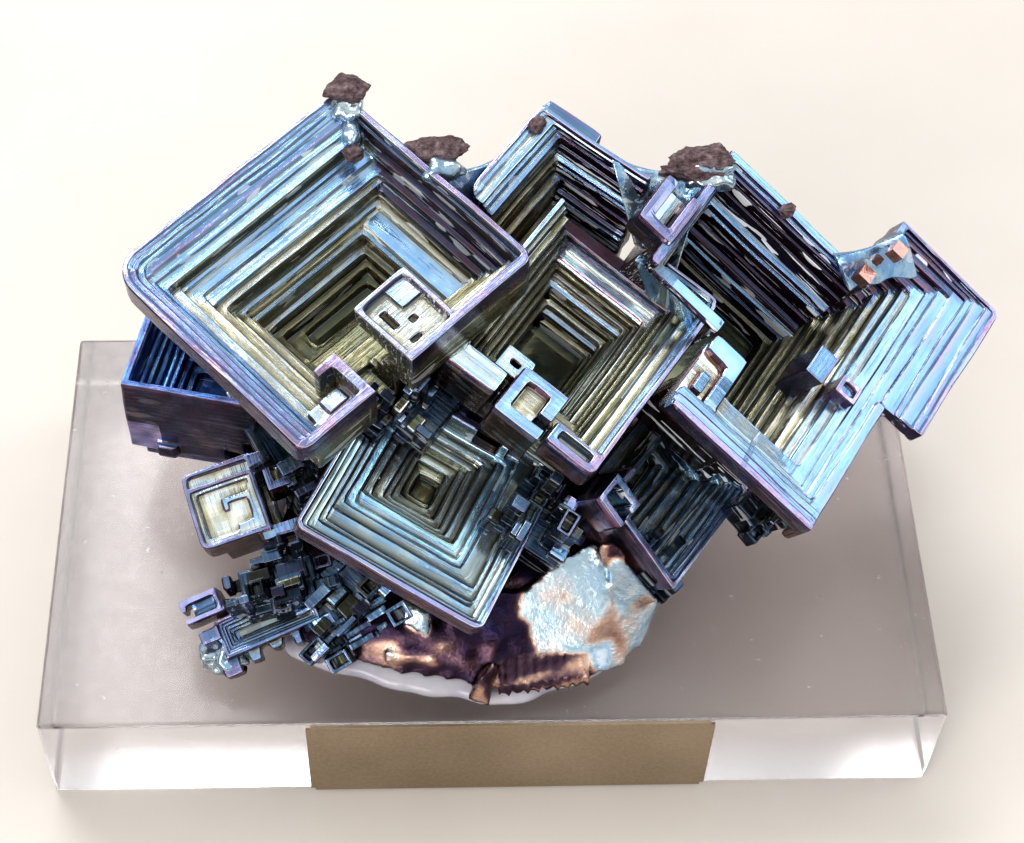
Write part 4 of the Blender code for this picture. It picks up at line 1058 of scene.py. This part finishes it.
for number, values in enumerate(CLUSTERS):
    crystal_piece("cluster_%d" % number, cluster(*values), (
        ((-6, 0.30, 0.5), (0, 0.34, 0.22), (6, 0.40, 0.12)),),
        ((0.34, 0.30, 0.34, 0.45), (0.6, 0.6, 0.6, 0.4), (0.36, 0.28, 0.32, 0.45), (0.6, 0.6, 0.6, 0.4),
         PAINTED_UNDER_SHADE, (1, 1, 1, 0.1)), spacing=0.9, warp=0.16, seed=101 + number, mottle=0.12, painted_relief_light=0.75)
crystal_piece("ribbed_block", ribbed_block(), (
    ((-2, 0.16, 0.9), (0, 0.26, 0.85), (0.5, 0.40, 0.6), (1.5, 0.52, 0.45), (5, 0.3, 0.25)),),
    ((0.5, 0.5, 0.55, 0.5), FAR_WALL, (0.4, 0.38, 0.42, 0.6), FAR_WALL, PAINTED_UNDER_SHADE, TREAD), seed=131, mottle=0.1,
    painted_relief_light=0.6)


# ---- The lump ----
# Each is (tone, corners): up to a tone of 0.3 it is dark brown-purple skin, at 0.5 peach, 0.6 cream, 0.8
# steel blue and 1 pale silver. The first stands on the glue, on FOOT. Several only carry the crystals from
# behind.

FOOT = ((-18, -14.6), (-8.7, -18.2), (-0.5, -19.6), (8, -18), (12.4, -15.2), (16, -9.5), (17, 2),
        (10, 12.5), (-8, 14), (-19, 6), (-21, -6))
LUMPS = (
    (0.20, [(x, y, FOOT_Z) for x, y in FOOT]
     + [(-16.5, -12.6, 17), (-8, -16, 17.2), (0, -16.8, 16.8), (-17, 2, 21), (-9, -8, 19.6),
        (-10, 10, 23.5), (4, 10, 23), (12, 3, 21), (13.5, -7, 18.5), (6, -12, 19)]),
    (0.62, [(5.9, -10.4, 21), (8.9, -9, 21.8), (10.6, -13.4, 18.8), (12.1, -17, 15), (8.2, -16.6, 16.5),
            (4.1, -17, 15.8), (1.5, -16, 16.5), (2.7, -12.6, 19.5), (2, -15, 14.4), (12.3, -16.6, 14.3),
            (9, -6, 15)]),
    (0.34, [(0.2, -20.6, 14.1), (8.6, -19.6, 14.1), (9, -18.4, 14.1), (0.6, -19, 14.1),
            (0.3, -20.2, 15.4), (8.8, -19.2, 15.5), (0.6, -17.6, 15.9), (8.8, -17.2, 16)]),
    (0.80, [(8.9, -8.9, 21.6), (13.4, -10.5, 18.5), (15.3, -12, 16.5), (13.3, -16.2, 14.6), (12.1, -16.9, 15),
            (10.8, -12, 19.4), (15.4, -11, 14.3), (10, -6, 15)]),
    (0.70, [(6, -17, 16.2), (10.2, -18.6, 15), (12.6, -17.4, 14.3), (5.6, -18.8, 14.3), (6.4, -15, 16.8),
            (10.6, -15.6, 16.6)]),
    (0.92, [(-8.7, -13.4, 19.8), (-5.7, -14.8, 19.2), (-6.1, -16.2, 17.6), (-8.2, -15.4, 18.4),
            (-7.2, -12.6, 17)]),
    (0.52, [(-10.1, -17, 16.2), (-5.7, -17.7, 16), (-5, -18.1, 15.2), (-10, -17.5, 15),
            (-7.6, -15, 15.2)]),
    (0.14, [(2.3, -12.6, 19.6), (-5, -13.6, 19.4), (-3.2, -17.4, 16.2), (-0.5, -18.2, 15.2), (0.4, -16.3, 17),
            (-1, -12, 15)]),
    (0.10, [(-19.5, 3, 19), (-8, 1, 19), (-6, 13, 19), (-18.5, 14, 19), (-17, 6.6, 29.7),
            (-12, 5.6, 29.6), (-10.5, 11.5, 29.9), (-16.5, 12.5, 29.9)]),
    (0.10, [(-2, 3, 18), (9, 2, 18), (12, 12, 18), (0, 16, 18), (1.6, 7.6, 24.2),
            (6.4, 7.4, 24.2), (8.4, 12.4, 24.4), (2.4, 13, 24.6)]),
    (0.16, [(-9, 9, 20), (7, 10, 20), (-8, 17, 21), (9, 17, 21), (-6, 14, 35),
            (5, 16, 33), (-4, 18.5, 34), (8, 19.5, 31.5)]),
    (0.12, [(9, -2, 16), (16, 0, 16.5), (12, 10, 17), (20, 12, 18.5), (15, 4, 21.5),
            (21, 7, 21.8), (24, 14, 22.4), (16, 13, 22)]),
    (0.12, [(-14, -2, 15), (-14, 10, 16), (-22, 2, 15.5), (-24, 10, 16.5),
            (-29, 6, 17), (-28, 13, 17.5), (-16, 4, 20), (-22, 12, 19)]),
    (0.40, [(-2.6, -20.9, 14.2), (-0.6, -21.6, 14.2), (-1.6, -18, 14.2), (-1.4, -20.8, 18),
            (-0.2, -19.4, 18.4), (0.4, -18.6, 16)]),
    (0.74, [(10.2, -11.2, 22.6), (11.4, -11.6, 22.8), (13.8, -12.8, 19.6), (15, -13, 17.6),
            (12.2, -13.4, 17.2), (10.4, -12.2, 20.2), (11.5, -9, 18), (14.5, -10.5, 16.5)]),
    (0.34, [(9.2, -10.6, 24.2), (10.4, -10.8, 24.6), (11.8, -11.4, 22.6), (9.8, -11.6, 21.4), (9.4, -9, 20),
            (12, -9.6, 21)]),
)
RIBBED_LIP = 2                              # its place in LUMPS
RIB_PITCH = 0.9
VOXEL = 0.34
DARK_SKIN = 0.3                             # below this tone the metal is skin, not a broken face


def hull(corners):
    shell = bmesh.new()
    for corner in corners:
        shell.verts.new(corner)
    bmesh.ops.convex_hull(shell, input=shell.verts[:])
    bmesh.ops.delete(shell, geom=[vert for vert in shell.verts if not vert.link_faces], context="VERTS")
    bmesh.ops.recalc_face_normals(shell, faces=shell.faces[:])
    return shell


def merged_lumps():
    """One mesh round all the lumps, and each lump's tone and the planes of its faces."""
    joined = bmesh.new()
    planes = []
    for tone, corners in LUMPS:
        shell = hull(corners)
        shell.faces.ensure_lookup_table()
        sides = [[*face.normal, face.normal.dot(face.verts[0].co)] for face in shell.faces]
        planes.append((tone, np.array(sides)))
        held = mesh_from(shell, "held")
        joined.from_mesh(held)
        bpy.data.meshes.remove(held)
    helper = bpy.data.objects.new("rough lump", mesh_from(joined, "rough lump"))
    bpy.context.scene.collection.objects.link(helper)
    remesh = helper.modifiers.new("skin", "REMESH")
    remesh.mode = "VOXEL"
    remesh.voxel_size = VOXEL
    bpy.context.view_layer.update()
    graph = bpy.context.evaluated_depsgraph_get()
    mesh = bpy.data.meshes.new_from_object(helper.evaluated_get(graph))
    bpy.data.objects.remove(helper)
    mesh.name = "lump"
    return mesh, planes


def broken(place, tone, face):
    """How far a point of one face is pushed out, and its tone there: facets with cracks between them."""
    spot = Vector(place)
    near = noise.voronoi(spot * 0.16 + Vector((face * 0.7, 0, 0)))[0]
    crack = max(0.0, 1.0 - (near[1] - near[0]) * 22.0)
    push = -0.14 * crack + 0.12 * noise.noise(spot * 0.30) + 0.03 * noise.noise(spot * 1.9)
    if tone < DARK_SKIN:
        push -= 0.7 * abs(noise.noise(spot * 0.42)) - 0.2
    return push, tone + 0.16 * math.sin(face * 2.4) + 0.12 * noise.noise(spot * 0.35) - 0.14 * crack


def broken_lump():
    mesh, planes = merged_lumps()
    points, normals = point_values(mesh, "co").astype(float), point_values(mesh, "normal")
    distances = np.stack([(points @ plane[:, :3].T - plane[:, 3]).max(1) for tone, plane in planes])
    nearest = np.abs(distances).argmin(0)
    count = len(points)
    tones, push = np.empty(count), np.empty(count)
    for index, place in enumerate(points):
        tone, plane = planes[nearest[index]]
        face = int((plane[:, :3] @ place - plane[:, 3]).argmax())
        push[index], tones[index] = broken(place, tone, face)
    edges = np.empty(len(mesh.edges) * 2, np.int32)
    mesh.edges.foreach_get("vertices", edges)
    ends = edges.reshape(-1, 2)
    shares = np.bincount(edges, minlength=count) + 1.0
    for _ in range(2):
        for values in (tones, push):
            total = values.copy()
            np.add.at(total, ends[:, 0], values[ends[:, 1]])
            np.add.at(total, ends[:, 1], values[ends[:, 0]])
            values[:] = total / shares
    ribbed = nearest == RIBBED_LIP
    push[ribbed] += 0.22 * np.sin(points[ribbed, 0] * WHOLE_TURN / RIB_PITCH)
    points = kept_in_box(points + normals * push[:, None])
    points[:, 2] = np.maximum(points[:, 2], FOOT_Z)
    set_points(mesh, points)
    put_attribute(mesh, "place", "FLOAT_VECTOR", "POINT", points)
    put_attribute(mesh, "tone", "FLOAT", "POINT", tones)
    mesh.materials.clear()
    mesh.materials.append(LUMP_METAL)
    mesh.shade_smooth()
    place_piece("lump", mesh)


# Middles and half sizes of the crusts, of the silvery necks that carry them, and of the cubes on C's tail.
CRUSTS = (
    ((-13, 24.1, 46.3), (2.1, 1.5, 0.9)),
    ((-12.5, 18.4, 43.8), (0.9, 0.9, 0.7)),
    ((-4.9, 18, 44.6), (2.9, 1.6, 0.7)),
    ((4.2, 22.5, 43.2), (1, 1, 0.7)),
    ((19.4, 19.2, 42), (2.8, 1.8, 1)),
    ((18.8, 18, 41.5), (3.1, 1.2, 0.8)),
    ((27.3, 16.2, 38.6), (0.8, 0.8, 0.7)),
)
NECKS = (
    ((-13, 23, 45.2), (1.8, 1.9, 1.3)),
    ((-12.6, 20.4, 44.4), (1, 1.9, 1)),
    ((-4.4, 16.2, 44), (2.3, 1.5, 1.2)),
    ((19.8, 18.4, 40.8), (3, 1.8, 1.6)),
    ((-24.6, -16.4, 15.4), (2.4, 2.2, 2)),
    ((-22.6, -15.2, 14.6), (1.6, 1.6, 1.4)),
)
CUBES = (((37.1, 12.4, 37), 1.3), ((34.2, 11.2, 35), 1.4), ((35.6, 12.6, 35.6), 0.7))


CHUNK_PLANES = 18
FARTHEST = 1.2                              # how far out of its ellipsoid a chunk may reach


def chunks(name, places, material, smooth, seed):
    """Chunks with flat sides, each the space inside a few random planes, roughened. With smooth 1 they are
    rounded lumps instead."""
    shell = bmesh.new()
    random = np.random.default_rng(seed)
    sharp = 1 - smooth
    for index, (middle, half_sizes) in enumerate(places):
        planes = random.normal(size=(CHUNK_PLANES, 3))
        planes /= np.linalg.norm(planes, axis=1)[:, None]
        heights = random.uniform(0.72, 1.0, CHUNK_PLANES)
        made = bmesh.ops.create_icosphere(shell, subdivisions=5, radius=1.0)
        for vert in made["verts"]:
            direction = vert.co.normalized()
            facing = planes @ np.array(direction)
            reach = min(FARTHEST, (heights / np.maximum(facing, 0.05)).min())
            reach = smooth * 0.9 + sharp * reach
            spot = Vector([direction[axis] * half_sizes[axis] * reach for axis in range(3)])
            spot += Vector((index * 9.0, seed, 0))
            reach *= 1.0 + sharp * (0.20 * noise.turbulence(spot * 0.9, 5, True) - 0.12)
            reach *= 1.0 + smooth * 0.36 * noise.noise(spot * 0.9)
            vert.co = [reach * direction[axis] * half_sizes[axis] + middle[axis] for axis in range(3)]
    mesh = mesh_from(shell, name)
    points = kept_in_box(point_values(mesh, "co"))
    set_points(mesh, points)
    film_attributes(mesh, points, np.full(len(points), 0.46), (0.74, 0.76, 0.78, 0.15))
    mesh.materials.append(material)
    mesh.shade_smooth()
    place_piece(name, mesh)


# Sheets of metal drawn out between neighbours: the two ends of the top edge, the two ends of the foot, how
# far the top edge sags and how thick the film is.
WEBS = (
    ("web_left", (-4.6, 15.6, 44.4), (1.4, 19.2, 42.4), (-1.4, 15, 37), (2.6, 17.2, 35.5), 0.5, 0.36),
    ("web_right", (11, 19, 42.3), (19.6, 18.2, 41.6), (13.3, 15.6, 35), (17, 12.6, 34.4), 0.8, 0.38),
    ("web_inner", (13.4, 11.4, 38), (17, 8.4, 37.4), (15, 10.4, 33.6), (18.4, 7, 32.6), 0.3, 0.34),
    ("web_tail", (31.6, 12.2, 36.4), (38, 14.2, 37.3), (33, 11.6, 33), (39.6, 13.2, 33), 0.3, 0.32),
)


WEB_CELLS = (44, 30)                        # along the top edge, and down


def web(name, start, end, foot_start, foot_end, sag, film):
    """A folded sheet between its top edge and its foot, thicker towards its ends."""
    start, end, foot_start, foot_end = (np.array(corner) for corner in (start, end, foot_start, foot_end))
    across, down = WEB_CELLS
    normal = np.cross(end - start, foot_start - start)
    normal /= np.linalg.norm(normal)
    if normal[2] < 0:
        normal = -normal
    seed = sum(name.encode())
    front, back, films = [], [], []
    for j in range(down + 1):
        t = j / down
        for i in range(across + 1):
            s = i / across
            base = (start * (1 - s) + end * s) * (1 - t) + (foot_start * (1 - s) + foot_end * s) * t
            base[2] -= sag * math.sin(math.pi * s) * (1 - t) ** 2
            fold = math.sin(s * 13 + 1.2 * math.sin(t * 2 + seed) + seed) * (0.1 + 0.6 * t)
            fold += 0.9 * noise.noise(Vector((s * 4, t * 1.2, seed)))
            flare = 1.2 * (1 - math.sin(math.pi * s)) + 0.5
            lift = 0.5 * flare * (1 - 0.4 * t) * math.sin(math.pi * min(1, t * 3 + 0.1) / 2)
            front.append(base + normal * (0.30 * fold + lift))
            back.append(base - normal * 0.5 * flare)
            films.append(film + 0.12 * fold)
    row = across + 1
    count = len(front)
    faces = []
    for j in range(down):
        for i in range(across):
            a = j * row + i
            faces.append((a, a + 1, a + row + 1, a + row))
            faces.append((count + a, count + a + row, count + a + row + 1, count + a + 1))
    border = list(range(row)) + [j * row + across for j in range(1, down + 1)]
    border += [down * row + i for i in range(across - 1, -1, -1)] + [j * row for j in range(down - 1, 0, -1)]
    for here, there in zip(border, border[1:] + border[:1]):
        faces.append((here, count + here, count + there, there))
    mesh = bpy.data.meshes.new(name)
    points = kept_in_box(np.array(front + back))
    mesh.from_pydata((points * MM).tolist(), [], faces)
    shell = bmesh.new()
    shell.from_mesh(mesh)
    bmesh.ops.recalc_face_normals(shell, faces=shell.faces[:])
    shell.to_mesh(mesh)
    shell.free()
    film_attributes(mesh, points, films * 2, (1.0, 1.02, 1.0, 0.35))
    mesh.materials.append(FILM)
    mesh.shade_smooth()
    place_piece(name, mesh)


def little_cubes(name, places):
    """Small cubes lying on hopper C's own axes."""
    shell = bmesh.new()
    turn = AXES_C.to_3x3().to_4x4()
    for middle, size in places:
        bmesh.ops.create_cube(shell, size=size, matrix=Matrix.Translation(middle) @ turn)
    mesh = mesh_from(shell, name)
    points = point_values(mesh, "co")
    film_attributes(mesh, points, [0.60] * len(points), (0.75, 0.40, 0.40, 0.1))
    set_points(mesh, points)
    mesh.materials.append(FILM)
    place_piece(name, mesh)


for values in WEBS:
    web(*values)
little_cubes("tail_cubes", CUBES)
broken_lump()
chunks("dross", CRUSTS, DROSS, 0.0, 77)
chunks("necks", NECKS, FILM, 1.0, 5)


# ---- Block, label and glue ----

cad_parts["acrylic_block"].data.materials.clear()
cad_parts["acrylic_block"].data.materials.append(acrylic())

TAPE_BACK_Y = -0.02226
TAPE_FRONT_Y = -0.02262
TAPE_CORNER = 0.0004
TAPE_EASING = 0.00006
GLUE_POINTS = 240
GLUE_EVENING = 8                            # rounds of smoothing that turn the foot's corners into a curve
GLUE_EDGE = ((1.25, 0.02), (1.30, 0.25), (1.22, 0.62), (0.85, 0.95), (0.2, 1.18), (-0.8, 1.32), (-3.0, 1.34))


def label():
    """The tape, with round corners and eased edges, just proud of the slab's front."""
    low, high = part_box("label")
    shell = bmesh.new()
    bmesh.ops.create_cube(shell, size=1.0)
    for vert in shell.verts:
        vert.co = Vector((high.x if vert.co.x > 0 else low.x, TAPE_BACK_Y if vert.co.y > 0 else TAPE_FRONT_Y,
                          high.z if vert.co.z > 0 else low.z))
    corners = [edge for edge in shell.edges if abs(edge.verts[0].co.y - edge.verts[1].co.y) > 1e-5]
    bmesh.ops.bevel(shell, geom=corners, offset=TAPE_CORNER, segments=4, affect="EDGES")
    mesh = mesh_from(shell, "label_strip")
    mesh.materials.append(label_tape())
    bevel(place_piece("label_strip", mesh, "label"), TAPE_EASING)


def foot_outline():
    """Evenly numbered points round FOOT, smoothed."""
    closed = list(FOOT) + [FOOT[0]]
    outline = []
    for index in range(GLUE_POINTS):
        along = index / GLUE_POINTS * len(FOOT)
        start = int(along)
        part = along - start
        here, there = closed[start], closed[start + 1]
        outline.append([here[axis] * (1 - part) + there[axis] * part for axis in range(2)])
    outline = np.array(outline)
    for _ in range(GLUE_EVENING):
        outline = (np.roll(outline, 1, 0) + outline * 2 + np.roll(outline, -1, 0)) / 4
    return outline


def glue():
    """A thin puddle with a wavy, rounded edge, narrower at the back and the right, drawn up to the lump's
    foot. GLUE_EDGE gives how far out of the foot and how high above the slab each of its rings lies."""
    outline = foot_outline()
    outward = outline - np.mean(FOOT, 0)
    outward /= np.linalg.norm(outward, axis=1)[:, None]
    angle = np.arange(GLUE_POINTS) / GLUE_POINTS * WHOLE_TURN
    wave = 0.22 * np.sin(5 * angle + 1.0) + 0.16 * np.sin(11 * angle) + 0.10 * np.sin(23 * angle + 2.0) - 0.2
    share = np.clip(0.75 - outward @ (0.72, 0.40), 0.2, 1.0)
    shell = bmesh.new()
    loops = []
    for reach, height in GLUE_EDGE:
        spread = reach * share + wave if reach > 0 else reach + wave * 0.3
        ring = outline + outward * spread[:, None]
        loops.append([shell.verts.new((x * MM, y * MM, (BLOCK_TOP + height) * MM)) for x, y in ring])
    for lower, upper in zip(loops[:-1], loops[1:]):
        for index in range(GLUE_POINTS):
            after = (index + 1) % GLUE_POINTS
            shell.faces.new((lower[index], lower[after], upper[after], upper[index]))
    shell.faces.new(loops[0][::-1])
    shell.faces.new(loops[-1])
    mesh = mesh_from(shell, "glue_puddle")
    mesh.materials.append(set_glue())
    mesh.shade_smooth()
    place_piece("glue_puddle", mesh, "glue")


label()
glue()


# ---- Floor, light and camera ----

FLOOR_HALF = 1.2
FLOOR_Z = -0.00003
LIT_PLACE = (0, 0, 0.02)
CAMERA_PLACE = (-0.006119, -0.115327, 0.184119)
CAMERA_ANGLES = (-3.8817, 53.4643, 2.6435)  # azimuth, elevation and roll
FOCAL_WIDTHS = 2138.5 / 1024                # the focal length over the photo's width
SENSOR = 36.0


def floor():
    mesh = bpy.data.meshes.new("floor")
    half = FLOOR_HALF
    corners = [(-half, -half, 0), (half, -half, 0), (half, half, 0), (-half, half, 0)]
    mesh.from_pydata(corners, [], [(0, 1, 2, 3)])
    made = Finish("pale floor")
    cloud = made.noise(made.geometry("Position"), 30.0)
    colour = made.ramp(cloud, ((0.3, (0.66, 0.60, 0.54)), (0.7, (0.70, 0.64, 0.58))))
    made.surface({"Base Color": colour, "Roughness": 0.6})
    mesh.materials.append(made.material)
    plane = bpy.data.objects.new("floor", mesh)
    plane.location.z = FLOOR_Z
    bpy.context.scene.collection.objects.link(plane)


def softbox(name, place, size, energy, colour):
    light = bpy.data.lights.new(name, "AREA")
    light.shape = "RECTANGLE"
    light.size, light.size_y = size
    light.energy = energy
    light.color = colour
    lamp = bpy.data.objects.new(name, light)
    lamp.location = place
    lamp.rotation_euler = (Vector(LIT_PLACE) - Vector(place)).to_track_quat("-Z", "Y").to_euler()
    bpy.context.scene.collection.objects.link(lamp)


def sky():
    """A studio that is brown and dim low down and white overhead."""
    world = bpy.data.worlds.new("studio")
    bpy.context.scene.world = world
    world.use_nodes = True
    tree = Shading(world.node_tree)
    where = tree.nodes.new("ShaderNodeTexCoord")
    split = tree.nodes.new("ShaderNodeSeparateXYZ")
    tree.links.new(where.outputs["Generated"], split.inputs[0])
    colour = tree.ramp(tree.plus(tree.times(split.outputs["Z"], 0.5), 0.5), (
        (0.45, (0.20, 0.17, 0.15)), (0.56, (0.34, 0.32, 0.31)), (0.72, (0.66, 0.69, 0.74)),
        (0.95, (0.98, 1.0, 1.0))))
    background = tree.nodes["Background"]
    tree.feed(background.inputs["Color"], colour)
    tree.feed(background.inputs["Strength"], 0.9)


def camera():
    azimuth, elevation, roll = (math.radians(angle) for angle in CAMERA_ANGLES)
    back = Vector((math.sin(azimuth) * math.cos(elevation), -math.cos(azimuth) * math.cos(elevation),
                   math.sin(elevation)))
    level = (-back).cross(Vector((0, 0, 1))).normalized()
    rise = level.cross(-back)
    right = math.cos(roll) * level + math.sin(roll) * rise
    up = -math.sin(roll) * level + math.cos(roll) * rise
    lens = bpy.data.cameras.new("camera")
    lens.sensor_width = SENSOR
    lens.lens = FOCAL_WIDTHS * SENSOR
    lens.clip_start = 0.005
    made = bpy.data.objects.new("camera", lens)
    bpy.context.scene.collection.objects.link(made)
    made.matrix_world = Matrix.Translation(CAMERA_PLACE) @ Matrix((right, up, back)).transposed().to_4x4()
    bpy.context.scene.camera = made


floor()
sky()
softbox("key", (-0.25, 0.55, 0.75), (0.60, 0.42), 4.4, (0.97, 0.98, 1.0))
softbox("side", (0.85, 0.15, 0.70), (0.60, 0.60), 1.8, (0.94, 0.98, 1.0))
softbox("front", (-0.50, -0.75, 0.42), (0.45, 0.45), 4.2, (1.0, 0.99, 0.97))
camera()
bpy.context.scene.view_settings.view_transform = "Standard"
bpy.context.scene.view_settings.look = "Medium High Contrast"
